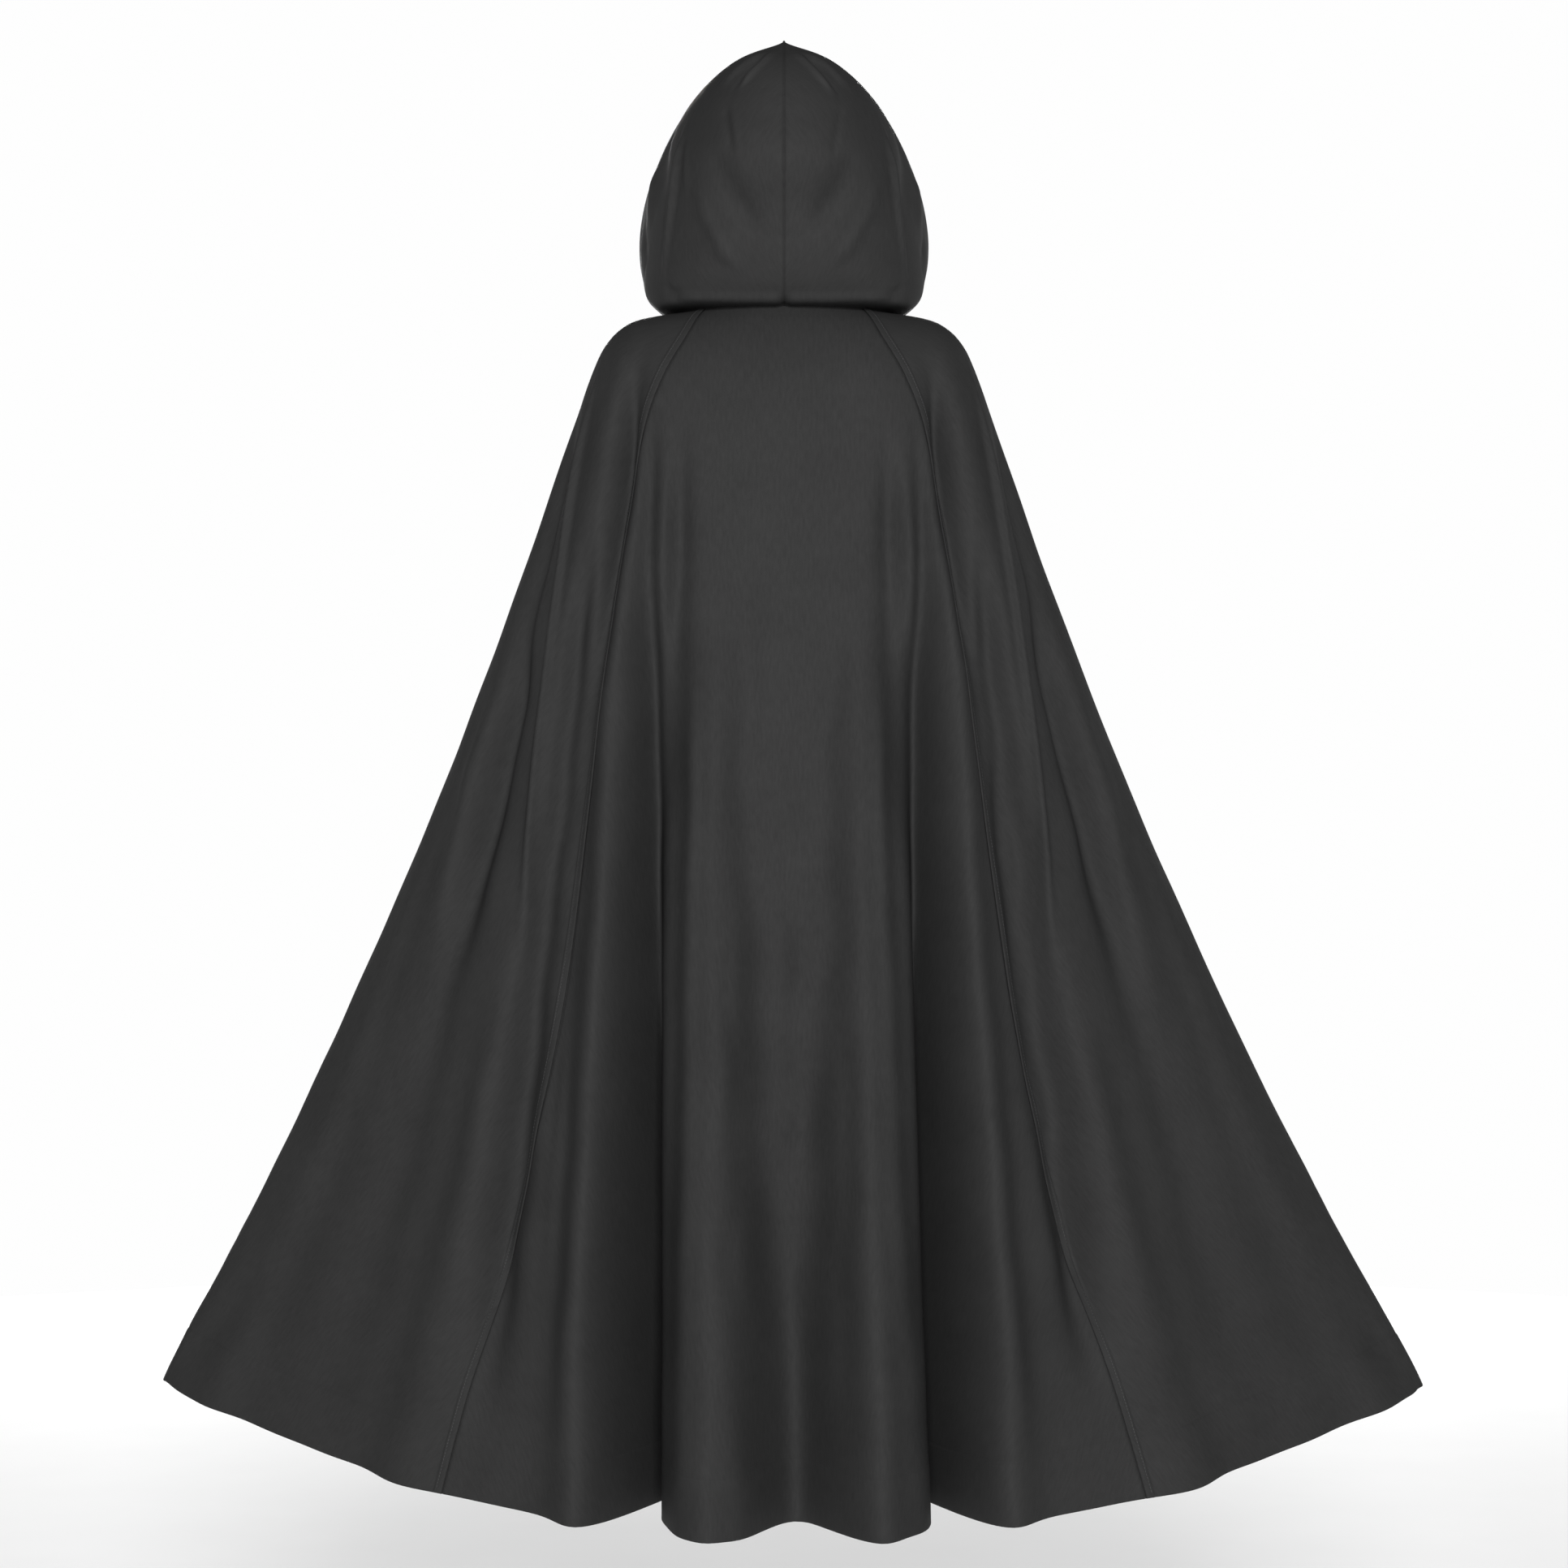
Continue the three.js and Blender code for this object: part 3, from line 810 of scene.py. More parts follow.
def right_edges(form: BodyForm, down: Array) -> tuple[Array, Array]:
    """Upright edges of the right front: past the middle of the front, and the back seam."""
    return -math.pi - LAP / RINGS.read("half", down), -form.seam_angle(down)


HOOD_ROWS = Table(
    ("row", "rim_x", "rim_y", "rim_z", "corner", "side_z", "back_y", "back_z"),
    (
        (1, 64, -94, -24, 196, 16, 88, 3),
        (2, 145, -120, 10, 189, 32, 103, 19),
        (3, 173, -137, 54, 178, 56, 117, 52),
        (4, 180, -142, 100, 165, 109, 131, 109),
        (5, 173, -145, 157, 152, 165, 147, 165),
        (6, 153, -146, 214, 136, 220, 134, 220),
        (7, 125, -142, 262, 111, 261, 116, 261),
        (8, 96, -135, 287, 87, 288, 93, 288),
        (9, 56, -127, 303, 63, 305, 64, 305),
        (10, 0, -122, 311, 0, 315, 34, 321),
    ),
)
HOOD_FRONT_TRIM = 0.12
HOOD_NECK_TURN = 0.5
HOOD_LIFT = 0.6
HOOD_INSET = 0.995
HOOD_SIDE_HANDLE = 0.5
HOOD_BACK_HANDLE = 0.9


@dataclass(frozen=True)
class HoodCrease:
    """A ridge or trough on one half of the hood, along a route drawn in the back or side plane."""

    name: str
    plane: Plane
    route: tuple[tuple[float, float], ...]
    width: float
    rise: float
    open_end: bool = False

    def rise_at(self, points: Array) -> Array:
        """Height of the crease: a bell curve of the distance to the nearest stretch of the route.

        It tapers over the first and last third of the route.

        Args:
            points: points of the half hood, with x counted from the middle.

        Returns:
            How far out the cloth moves.
        """
        flat = points[..., [self.plane.value, 2]]
        route = np.array(self.route, float)
        stretch = np.linalg.norm(np.diff(route, axis=0), axis=-1)
        along = np.concatenate([[0.0], np.cumsum(stretch)])
        best = np.full(flat.shape[:-1], np.inf)
        share = np.zeros_like(best)
        for k in range(len(route) - 1):
            step = route[k + 1] - route[k]
            t = np.clip(((flat - route[k]) @ step) / (step @ step), 0.0, 1.0)
            gap = np.linalg.norm(flat - route[k] - t[..., None] * step, axis=-1)
            closer = gap < best
            best = np.where(closer, gap, best)
            share = np.where(closer, (along[k] + t * stretch[k]) / along[-1], share)
        taper = smooth(3 * share) * (1.0 if self.open_end else smooth(3 * (1 - share)))
        faces = points[..., 1] - 35 if self.plane is Plane.BACK else points[..., 0] - 70
        return self.rise * bell(best / self.width) * taper * smooth(faces / 30)


LEFT_HOOD_CREASES = (
    HoodCrease(
        "bag ridge", Plane.BACK, ((106, 244), (118, 217), (126, 172), (130, 136), (142, 60), (147, 4)), 3, 8
    ),
    HoodCrease(
        "bag hollow", Plane.BACK, ((122, 242), (132, 214), (142, 170), (147, 134), (154, 60), (159, 14)), 6.5, -9
    ),
    HoodCrease("second line", Plane.BACK, ((113, 206), (116, 160), (114, 122)), 3.2, 2),
    HoodCrease("swag", Plane.BACK, ((107, 146), (91, 98), (70, 56), (44, 32)), 8, 4.4),
    HoodCrease("swag hollow", Plane.BACK, ((92, 182), (66, 130), (40, 92), (18, 72)), 16, -7),
    HoodCrease("crown ray", Plane.BACK, ((4, 306), (28, 280), (58, 246)), 3.2, 5.2),
    HoodCrease("outer crown ray", Plane.BACK, ((10, 304), (44, 284), (80, 252)), 4.2, 4.6),
    HoodCrease("crown hollow", Plane.BACK, ((10, 300), (38, 274), (66, 240)), 4, -1.6),
    HoodCrease("short crease", Plane.BACK, ((72, 240), (66, 200), (60, 158)), 5, -2.6),
    HoodCrease("short ridge", Plane.BACK, ((62, 236), (57, 200), (52, 166)), 4, 1.8),
    HoodCrease("lower fold", Plane.BACK, ((146, 15), (112, 9), (60, 6), (2, 5)), 5, 3.4, True),
    HoodCrease("lower tuck", Plane.BACK, ((152, 36), (136, 18), (118, 8)), 7, -4),
    HoodCrease("side fall", Plane.SIDE, ((-96, 262), (-34, 196), (52, 120)), 22, -5.5),
    HoodCrease("side ridge", Plane.SIDE, ((-98, 196), (-50, 148), (-4, 108)), 16, 4),
    HoodCrease("side low hollow", Plane.SIDE, ((-92, 112), (-54, 84), (-12, 58)), 14, -4.5),
)
RIGHT_HOOD_CREASES = (
    HoodCrease(
        "bag ridge", Plane.BACK, ((107, 244), (119, 217), (127, 172), (132, 136), (143, 60), (148, 4)), 3, 8
    ),
    HoodCrease(
        "bag hollow", Plane.BACK, ((123, 242), (133, 214), (143, 170), (149, 134), (155, 60), (160, 14)), 6.5, -9
    ),
    HoodCrease("swag", Plane.BACK, ((116, 164), (99, 106), (76, 64), (46, 34)), 8, 4.2),
    HoodCrease("swag hollow", Plane.BACK, ((90, 178), (66, 128), (42, 94), (20, 78)), 16, -7),
    HoodCrease("crown ray", Plane.BACK, ((4, 306), (32, 276), (66, 236)), 3.2, 5.2),
    HoodCrease("outer crown ray", Plane.BACK, ((10, 304), (48, 282), (84, 248)), 4.2, 4.6),
    HoodCrease("crown hollow", Plane.BACK, ((10, 300), (42, 270), (74, 230)), 4, -1.6),
    HoodCrease("short crease", Plane.BACK, ((70, 240), (63, 200), (56, 154)), 5, -2.6),
    HoodCrease("lower fold", Plane.BACK, ((147, 15), (110, 9), (58, 6), (2, 5)), 5, 3.4, True),
    HoodCrease("lower tuck", Plane.BACK, ((152, 36), (137, 18), (120, 8)), 7, -4),
    HoodCrease("side fall", Plane.SIDE, ((-94, 254), (-30, 190), (58, 112)), 22, -5.5),
    HoodCrease("side ridge", Plane.SIDE, ((-98, 188), (-54, 142), (-8, 102)), 16, 4),
    HoodCrease("side low hollow", Plane.SIDE, ((-90, 104), (-56, 78), (-14, 54)), 14, -4.5),
)

RIM_MARKS = (0, 0.25, 0.7, 1.3, 2.2, 4, 6.4, 7.3, 8, 8.8, 10, 13)
MIDDLE_MARKS = (0, 0.25, 0.7, 1.3, 2.2, 4, 7)
HOOD_NECK_MARKS = (0, 1, 2, 3.5, 5, 7, 10)


@dataclass(frozen=True)
class HoodHalf:
    """One half of the hood, from its rim to the middle seam and from the neck to the crown."""

    name: str
    node: str
    sign: float
    creases: tuple[HoodCrease, ...]
    columns: int = 190
    rows: int = 150
    bag_place: float = 0.49
    bag_crowding: float = 0.5
    row_length: float = 417.0
    rise_length: float = 380.0
    tuck: float = 2.8
    tuck_drop: float = 3.0
    tuck_run: float = 6.0
    seam_dip: float = 1.5
    seam_width: float = 1.7
    seam_overlap: float = 0.25
    facing: float = 30.0
    facing_ply: float = 1.6
    flat: tuple[float, float] = (0.37, 0.40)
    area: float = 0.14
    form: BodyForm = field(default_factory=BodyForm)

    def sections(self, p: Array) -> Array:
        """Points of every row of the hood at shares p from the rim to the middle of the back.

        The lowest row lies on the neck ring. Each other row is a cubic Bezier curve from the rim,
        by a handle beside the corner and one at the back, to the middle of the back.

        Args:
            p: shares from the rim to the back.

        Returns:
            Points, with the rows on the first axis.
        """
        turn = (math.pi - HOOD_FRONT_TRIM - HOOD_NECK_TURN * np.sin(math.pi * p)) * (1 - p)
        neck = self.form.ring(turn, np.zeros_like(p)) * [HOOD_INSET, HOOD_INSET, 1.0]
        neck[..., 2] += HOOD_LIFT
        rim_x, rim_y, rim_z, corner, side_z, back_y, back_z = (
            HOOD_ROWS.column(name)[:, None] for name in HOOD_ROWS.columns[1:]
        )
        zero = 0 * rim_x
        handles = (
            (rim_x, rim_y, rim_z),
            (corner, mix(rim_y, back_y, HOOD_SIDE_HANDLE), side_z),
            (HOOD_BACK_HANDLE * corner, back_y, back_z),
            (zero, back_y, back_z),
        )
        weights = ((1 - p) ** 3, 3 * p * (1 - p) ** 2, 3 * p * p * (1 - p), p**3)
        rows = sum(
            np.stack(np.broadcast_arrays(*(w * part for part in handle)), axis=-1)
            for w, handle in zip(weights, handles)
        )
        return np.concatenate([neck[None], rows])

    def face(self, p: Array, q: Array) -> Array:
        """Smooth outer face of the left half.

        Each column is a centripetal Catmull-Rom curve through its sections: the tangents at a
        section weigh the chords beside it by the square roots of their lengths.

        Args:
            p: shares from the rim to the back, one for each column.
            q: shares from the neck to the crown, one for each row.

        Returns:
            Points, with the rows on the first axis.
        """
        known = self.sections(p)
        known = np.concatenate([2 * known[:1] - known[1:2], known, 2 * known[-1:] - known[-2:-1]])
        spans = len(known) - 3
        i = np.clip(np.floor(q * spans).astype(int), 0, spans - 1)
        t = (q * spans - i)[:, None, None]
        a, b, c, d = known[i], known[i + 1], known[i + 2], known[i + 3]
        pairs = ((a, b), (b, c), (c, d))
        gap = [np.linalg.norm(n - m, axis=-1, keepdims=True) ** 0.5 for m, n in pairs]
        gap[1] = np.where(gap[1] < 1e-4, 1.0, gap[1])
        gap[0] = np.where(gap[0] < 1e-4, gap[1], gap[0])
        gap[2] = np.where(gap[2] < 1e-4, gap[1], gap[2])
        first = ((b - a) / gap[0] - (c - a) / (gap[0] + gap[1]) + (c - b) / gap[1]) * gap[1]
        second = ((c - b) / gap[1] - (d - b) / (gap[1] + gap[2]) + (d - c) / gap[2]) * gap[1]
        cubic = 2 * b - 2 * c + first + second
        square = 3 * c - 3 * b - 2 * first - second
        return b + first * t + square * t**2 + cubic * t**3

    def grid(self) -> tuple[Array, Array]:
        """Shares of the columns and of the rows.

        They crowd beside the rim, the seams and the neck. The columns also crowd along the bag's
        ridge: each share gives up a part of a sine wave that is steepest there.
        """
        near = np.array(RIM_MARKS) / self.row_length
        far = 1 - np.array(MIDDLE_MARKS)[::-1] / self.row_length
        even = np.linspace(0, 1, self.columns - len(near) - len(far) + 2)[1:-1]
        turn = 2 * math.pi
        wave = np.sin(turn * (even - self.bag_place))
        ends = np.sin(turn * (np.array([0.0, 1.0]) - self.bag_place))
        wave = wave - mix(ends[0], ends[1], even)
        share = even - self.bag_crowding * wave / turn
        p = np.concatenate([near, mix(near[-1], far[0], share), far])
        low = np.array(HOOD_NECK_MARKS) / self.rise_length
        high = 1 - np.array(MIDDLE_MARKS)[::-1] / (1.4 * self.rise_length)
        q = np.concatenate([low, np.linspace(low[-1], high[0], self.rows - 12)[1:-1], high])
        return p, q

    @staticmethod
    def run(points: Array, axis: int) -> Array:
        """Length along the grid from its first border, on one axis."""
        steps = np.linalg.norm(np.diff(points, axis=axis), axis=-1)
        pad = np.zeros_like(np.take(steps, [0], axis=axis))
        return np.concatenate([pad, np.cumsum(steps, axis=axis)], axis=axis)

    def shell(self) -> tuple[Shell, Array]:
        """The half hood's wall, and the place of each point on the cloth in metres.

        Creases move the face along its own normal. The neck edge tucks inside the body's top edge,
        and the rim's facing thickens the wall inwards.

        Returns:
            The shell, and the grid of cloth places.
        """
        p, q = self.grid()
        points = self.face(p, q)
        normal = self.normals(points)
        relief = sum(crease.rise_at(points) for crease in self.creases)
        u, v = self.run(points, 1), self.run(points, 0)
        rim, middle, crown = u, u[:, -1:] - u, v[-1:] - v
        edge_calm = smooth(middle / 10) * smooth(crown / 7) * smooth(rim / 40)
        relief = relief * edge_calm + stitch_dip(rim, EDGE_STITCH)
        relief = relief - self.seam_dip * bell(np.minimum(middle, crown) / self.seam_width)
        tuck = 1 - smooth(v / self.tuck_run)
        points = points + normal * relief[..., None]
        level = normal * [1, 1, 0]
        points = points - unit(level) * (self.tuck * tuck)[..., None]
        points[..., 2] -= self.tuck_drop * tuck
        normal = self.normals(points)
        thick = WALL + self.facing_ply * (1 - smooth((rim - self.facing) / 2))
        edge = edge_share(rim, thick)
        return Shell(points, normal, thick, edge), np.stack([u, v], axis=-1) * MM

    @staticmethod
    def normals(points: Array) -> Array:
        """Outward directions: the cross product of the grid's steps along its rows and columns."""
        across, up = np.gradient(points, axis=1), np.gradient(points, axis=0)
        return unit(np.cross(across, up))

    def build(self) -> bpy.types.Object:
        """Makes the half hood's mesh object, mirrored by turning its rows round on the right."""
        shell, place = self.shell()
        outer, normal, thick, edge = shell.outer, shell.normal, shell.thick, shell.edge
        if self.sign < 0:
            flip = np.array([-1.0, 1.0, 1.0])
            outer, normal = outer[:, ::-1] * flip, normal[:, ::-1] * flip
            thick, edge, place = thick[:, ::-1], edge[:, ::-1], place[:, ::-1]
        vertices, faces = Shell(outer, normal, thick, edge).arrays()
        vertices[:, 0] = self.sign * np.maximum(self.sign * vertices[:, 0], -self.seam_overlap)
        return make_object(self.name, vertices, faces, np.concatenate([place.reshape(-1, 2)] * 2))

    def rim_line(self) -> tuple[Array, Array]:
        """The line of the rim's stitches, from the neck to the crown, and its outward directions."""
        shell, _ = self.shell()
        column = RIM_MARKS.index(EDGE_STITCH)
        flip = np.array([self.sign, 1.0, 1.0])
        rows = slice(len(HOOD_NECK_MARKS), -2)
        return shell.outer[rows, column] * flip, shell.normal[rows, column] * flip

    def dress(self, finish: bpy.types.Material, over: Sequence[bpy.types.Object]) -> bpy.types.Object:
        """Builds the half hood, gives it its finish and its body, and hides the frame's part.

        Args:
            finish: the wool.
            over: rows of stitches that belong to it; not used.

        Returns:
            The finished piece.
        """
        piece = self.build()
        piece.data.materials.append(finish)
        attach(piece, "root")
        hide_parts(self.node)
        report(piece)
        return piece


@dataclass(frozen=True)
class Thread:
    """Stitches of one thread, each a flat pillow whose ends go into the cloth."""

    length: float = 2.9
    pitch: float = 3.8
    width: float = 0.55
    height: float = 0.34
    sides: int = 6

    def pillow(self) -> tuple[Array, Array]:
        """One stitch, along x and standing on z = 0.

        Rings of six points have the half circle's share of the stitch's width and height, and their
        middle rises on an arch from below the cloth at the ends.

        Returns:
            Vertices and four-sided faces, the end rings closed by two faces each.
        """
        station = np.array([-0.5, -0.38, -0.16, 0.16, 0.38, 0.5])[:, None]
        swell = np.sqrt(np.maximum(1 - (2 * station) ** 2 * 0.94, 0))
        turn = np.linspace(0, 2 * math.pi, self.sides, endpoint=False)[None, :]
        x = station * self.length + 0 * turn
        y = 0.5 * self.width * swell * np.cos(turn)
        arch = self.height * (1 - (2 * station) ** 2) - 0.12
        z = 0.5 * self.height * swell * np.sin(turn) + arch
        number = np.arange(x.size).reshape(x.shape)
        following = np.roll(number, -1, axis=1)
        tube = np.stack([number[:-1], following[:-1], following[1:], number[1:]], -1).reshape(-1, 4)
        caps = []
        for ring in (number[0, ::-1], number[-1]):
            caps += [ring[[0, 1, 2, 3]], ring[[0, 3, 4, 5]]]
        return np.stack([x, y, z], -1).reshape(-1, 3), np.concatenate([tube, np.array(caps)])

    def set_out(self, points: Array, normals: Array) -> tuple[Array, Array, Array]:
        """Even stitches along a line.

        Args:
            points: points of the line.
            normals: outward directions at them.

        Returns:
            The stitches' middles, directions along the line and outward directions.
        """
        steps = np.linalg.norm(np.diff(points, axis=0), axis=-1)
        along = np.concatenate([[0.0], np.cumsum(steps)])
        count = int(along[-1] // self.pitch)
        at = (np.arange(count) + 0.5) * self.pitch

        def sample(values: Array, where: Array) -> Array:
            """Each coordinate read on straight lines between the known points."""
            return np.stack([np.interp(where, along, values[:, k]) for k in range(3)], axis=-1)

        forward = unit(sample(points, at + 0.5) - sample(points, at - 0.5))
        return sample(points, at), forward, unit(sample(normals, at))

    def place(self, middle: Array, forward: Array, outward: Array) -> tuple[Array, Array]:
        """Copies of the stitch at many places.

        Args:
            middle: middles of the stitches.
            forward: directions along them.
            outward: outward directions.

        Returns:
            Vertices and faces of them all.
        """
        shape, faces = self.pillow()
        sideways = unit(np.cross(outward, forward))
        up = np.cross(forward, sideways)
        axes = np.stack([forward, sideways, up], axis=1)
        vertices = middle[:, None, :] + np.einsum("vk,nkc->nvc", shape, axes)
        shift = np.arange(len(middle))[:, None, None] * len(shape)
        return vertices.reshape(-1, 3), (faces[None] + shift).reshape(-1, 4)


def join_arrays(parts: Sequence[tuple[Array, Array]]) -> tuple[Array, Array]:
    """One set of vertices and faces from several, in order."""
    counts = np.cumsum([0] + [len(vertices) for vertices, _ in parts[:-1]])
    vertices = np.concatenate([vertices for vertices, _ in parts])
    return vertices, np.concatenate([faces + count for count, (_, faces) in zip(counts, parts)])


@dataclass(frozen=True)
class Stitching:
    """A named piece made of rows of stitches."""

    name: str
    thread: Thread = field(default_factory=Thread)

    def dress(
        self, lines: Sequence[tuple[Array, Array]], finish: bpy.types.Material
    ) -> bpy.types.Object:
        """Sews along the lines and gives the thread its finish.

        Args:
            lines: points and outward directions of each row.
            finish: the thread.

        Returns:
            The finished piece.
        """
        rows = [self.thread.place(*self.thread.set_out(points, normals)) for points, normals in lines]
        piece = make_object(self.name, *join_arrays(rows))
        piece.data.materials.append(finish)
        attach(piece, "root")
        report(piece)
        return piece


@dataclass(frozen=True)
class NeckFastening:
    """The buttonhole's stitches and the threads that hold the button of the frame."""

    panel: BodyPanel
    hole: float = 30.0
    hole_start: float = -4.0
    purl_pitch: float = 0.75
    purl_length: float = 2.6
    strand_gap: float = 0.45
    strand_width: float = 0.5
    shank_radius: float = 1.7
    sides: int = 16

    def seat(self) -> tuple[Array, Array, Array]:
        """Place under the middle of the button, the level direction to the wearer's left, and out."""
        angle, down = np.array([-math.pi]), np.array([BUTTON_DOWN])
        point = self.panel.form.cloth(angle, down, np.array([LAP_RISE]))[0]
        normal = self.panel.normal(angle, down)[0]
        level = unit(np.array([1.0, 0.0, 0.0]) - normal[0] * normal)
        return point, level, normal

    def purls(self) -> tuple[Array, Array]:
        """Short stitches side by side along both edges of the hole and round its ends.

        They stand on a slot whose sides are straight and whose ends are half circles, each stitch
        across the slot's edge.

        Returns:
            Vertices and faces.
        """
        point, level, normal = self.seat()
        across = np.cross(normal, level)
        radius = 1.5
        straight = self.hole - 2 * radius
        around = 2 * straight + 2 * math.pi * radius
        at = np.arange(0, around, self.purl_pitch)
        turn = math.pi * radius
        second = at - straight - turn
        bend = np.clip((at - straight) / radius, 0, math.pi)
        bend = bend + np.clip((second - straight) / radius, 0, math.pi)
        x = np.clip(at, 0, straight) - np.clip(second, 0, straight)
        x = x + radius * np.sin(bend)
        y = -radius * np.cos(bend)
        outward = np.stack([np.sin(bend), -np.cos(bend)], axis=-1)
        start = self.hole_start + radius
        middle = point - level * (start + x)[:, None] + across * y[:, None]
        forward = -level * outward[:, :1] + across * outward[:, 1:]
        thread = Thread(length=self.purl_length, width=0.7, height=0.5)
        normals = np.broadcast_to(normal, middle.shape)
        return thread.place(middle + 0.5 * normal * 0.1, unit(forward), normals)

    def strands(self) -> tuple[Array, Array]:
        """Three strands over each diagonal pair of the button's holes."""
        point, level, normal = self.seat()
        across = np.cross(normal, level)
        face = point + normal * (BUTTON_CLEAR + BUTTON_THICK - BUTTON_DISH)
        length = 2.1 * math.sqrt(2) * BUTTON_HOLE_PITCH
        thread = Thread(length=length, width=self.strand_width, height=0.9)
        parts = []
        for turn, lift in ((1.0, 0.0), (-1.0, 0.35)):
            forward = unit(level + turn * across)
            beside = np.cross(normal, forward)
            shift = np.array([-1.0, 0.0, 1.0])[:, None] * self.strand_gap * beside
            middle = face + shift + lift * normal
            spread = np.broadcast_to(forward, middle.shape)
            parts.append(thread.place(middle, spread, np.broadcast_to(normal, middle.shape)))
        return join_arrays(parts)

    def shank(self) -> tuple[Array, Array]:
        """Wound thread between the cloth and the button: a short tube closed at both ends."""
        point, level, normal = self.seat()
        across = np.cross(normal, level)
        height = np.array([-2.0, -2.0, 1.0, 1.0])[:, None]
        radius = np.array([0.3, 1.0, 1.0, 0.3])[:, None] * self.shank_radius
        turn = np.linspace(0, 2 * math.pi, self.sides, endpoint=False)[None, :]
        flat = radius * np.cos(turn), radius * np.sin(turn), height + 0 * turn
        axes = (level, across, normal)
        vertices = point + sum(part[..., None] * axis for part, axis in zip(flat, axes))
        number = np.arange(vertices.shape[0] * self.sides).reshape(-1, self.sides)
        after = np.roll(number, -1, axis=1)
        faces = np.stack([number[:-1], after[:-1], after[1:], number[1:]], -1).reshape(-1, 4)
        return vertices.reshape(-1, 3), faces

    def dress(self, finish: bpy.types.Material) -> list[bpy.types.Object]:
        """Makes the buttonhole and the button's thread.

        Args:
            finish: the thread.

        Returns:
            Both pieces.
        """
        made = [
            make_object("buttonhole_stitches", *self.purls()),
            make_object("button_thread", *join_arrays([self.strands(), self.shank()])),
        ]
        for piece in made:
            piece.data.materials.append(finish)
            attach(piece, "root")
            report(piece)
        return made


class Signal:
    """A socket in a node tree, with arithmetic that adds the Math nodes."""

    def __init__(self, nodes: "Nodes", socket: bpy.types.NodeSocket) -> None:
        """Wraps one socket of a tree."""
        self.nodes = nodes
        self.socket = socket

    def combine(self, operation: str, *values: "Signal | float") -> "Signal":
        """Adds a Math node on the values."""
        sockets = dict(enumerate(values))
        return self.nodes.add("ShaderNodeMath", {"operation": operation}, sockets)

    def __add__(self, other: "Signal | float") -> "Signal":
        """This plus the other."""
        return self.combine("ADD", self, other)

    def __sub__(self, other: "Signal | float") -> "Signal":
        """This minus the other."""
        return self.combine("SUBTRACT", self, other)

    def __rsub__(self, other: float) -> "Signal":
        """The other minus this."""
        return self.combine("SUBTRACT", other, self)

    def __mul__(self, other: "Signal | float") -> "Signal":
        """This times the other."""
        return self.combine("MULTIPLY", self, other)

    def __truediv__(self, other: "Signal | float") -> "Signal":
        """This over the other."""
        return self.combine("DIVIDE", self, other)

    def __pow__(self, other: "Signal | float") -> "Signal":
        """This to the power of the other."""
        return self.combine("POWER", self, other)

    __radd__ = __add__
    __rmul__ = __mul__


class Nodes:
    """The node tree of one new material or world."""

    def __init__(self, owner: bpy.types.Material | bpy.types.World) -> None:
        """Starts with an empty tree."""
        owner.use_nodes = True
        self.owner = owner
        self.tree = owner.node_tree
        self.tree.nodes.clear()

    @classmethod
    def material(cls, name: str) -> "Nodes":
        """The tree of a new material."""
        return cls(bpy.data.materials.new(name))

    def add(
        self,
        kind: str,
        settings: dict[str, object] | None = None,
        sockets: dict[int | str, object] | None = None,
        output: int | str = 0,
    ) -> Signal:
        """Adds a node: its settings first, then the values or links of its sockets.

        Args:
            kind: the node's type.
            settings: properties of the node, such as operation, or stops for a ramp.
            sockets: values and signals by socket name or number.
            output: the output that is given back.

        Returns:
            That output's signal.
        """
        node = self.tree.nodes.new(kind)
        for name, value in (settings or {}).items():
            if name == "stops":
                self.set_stops(node, value)
            else:
                setattr(node, name, value)
        for name, value in (sockets or {}).items():
            socket = node.inputs[name]
            if isinstance(value, Signal):
                self.tree.links.new(value.socket, socket)
            else:
                socket.default_value = value
        return Signal(self, node.outputs[output])

    @staticmethod
    def set_stops(node: bpy.types.Node, stops: Sequence[tuple[float, float]]) -> None:
        """Sets a ramp's stops to grey values at places from 0 to 1."""
        elements = node.color_ramp.elements
        while len(elements) < len(stops):
            elements.new(0.5)
        for element, (place, value) in zip(elements, stops):
            element.position = place
            element.color = (value, value, value, 1.0)

    def noise(self, vector: Signal, scale: float, detail: float, roughness: float = 0.5) -> Signal:
        """Noise from 0 to 1 over a vector, at a number of waves per unit."""
        sockets = {"Vector": vector, "Scale": scale, "Detail": detail, "Roughness": roughness}
        return self.add("ShaderNodeTexNoise", {}, sockets, "Fac")

    def stretched(self, vector: Signal, scale: tuple[float, float, float]) -> Signal:
        """A vector multiplied along each axis."""
        sockets = {"Vector": vector, "Scale": scale}
        return self.add("ShaderNodeMapping", {}, sockets)

    def blend(self, share: Signal | float, first: object, second: object) -> Signal:
        """Colour between two colours."""
        sockets = {0: share, 6: first, 7: second}
        return self.add("ShaderNodeMix", {"data_type": "RGBA"}, sockets, 2)

    def finish(self, shader: Signal, kind: str = "ShaderNodeOutputMaterial") -> bpy.types.ID:
        """Links the shader to a new output and gives back the tree's owner."""
        node = self.tree.nodes.new(kind)
        self.tree.links.new(shader.socket, node.inputs["Surface"])
        return self.owner


def rgba(value: Sequence[float]) -> tuple[float, float, float, float]:
    """A colour with full alpha."""
    return (value[0], value[1], value[2], 1.0)


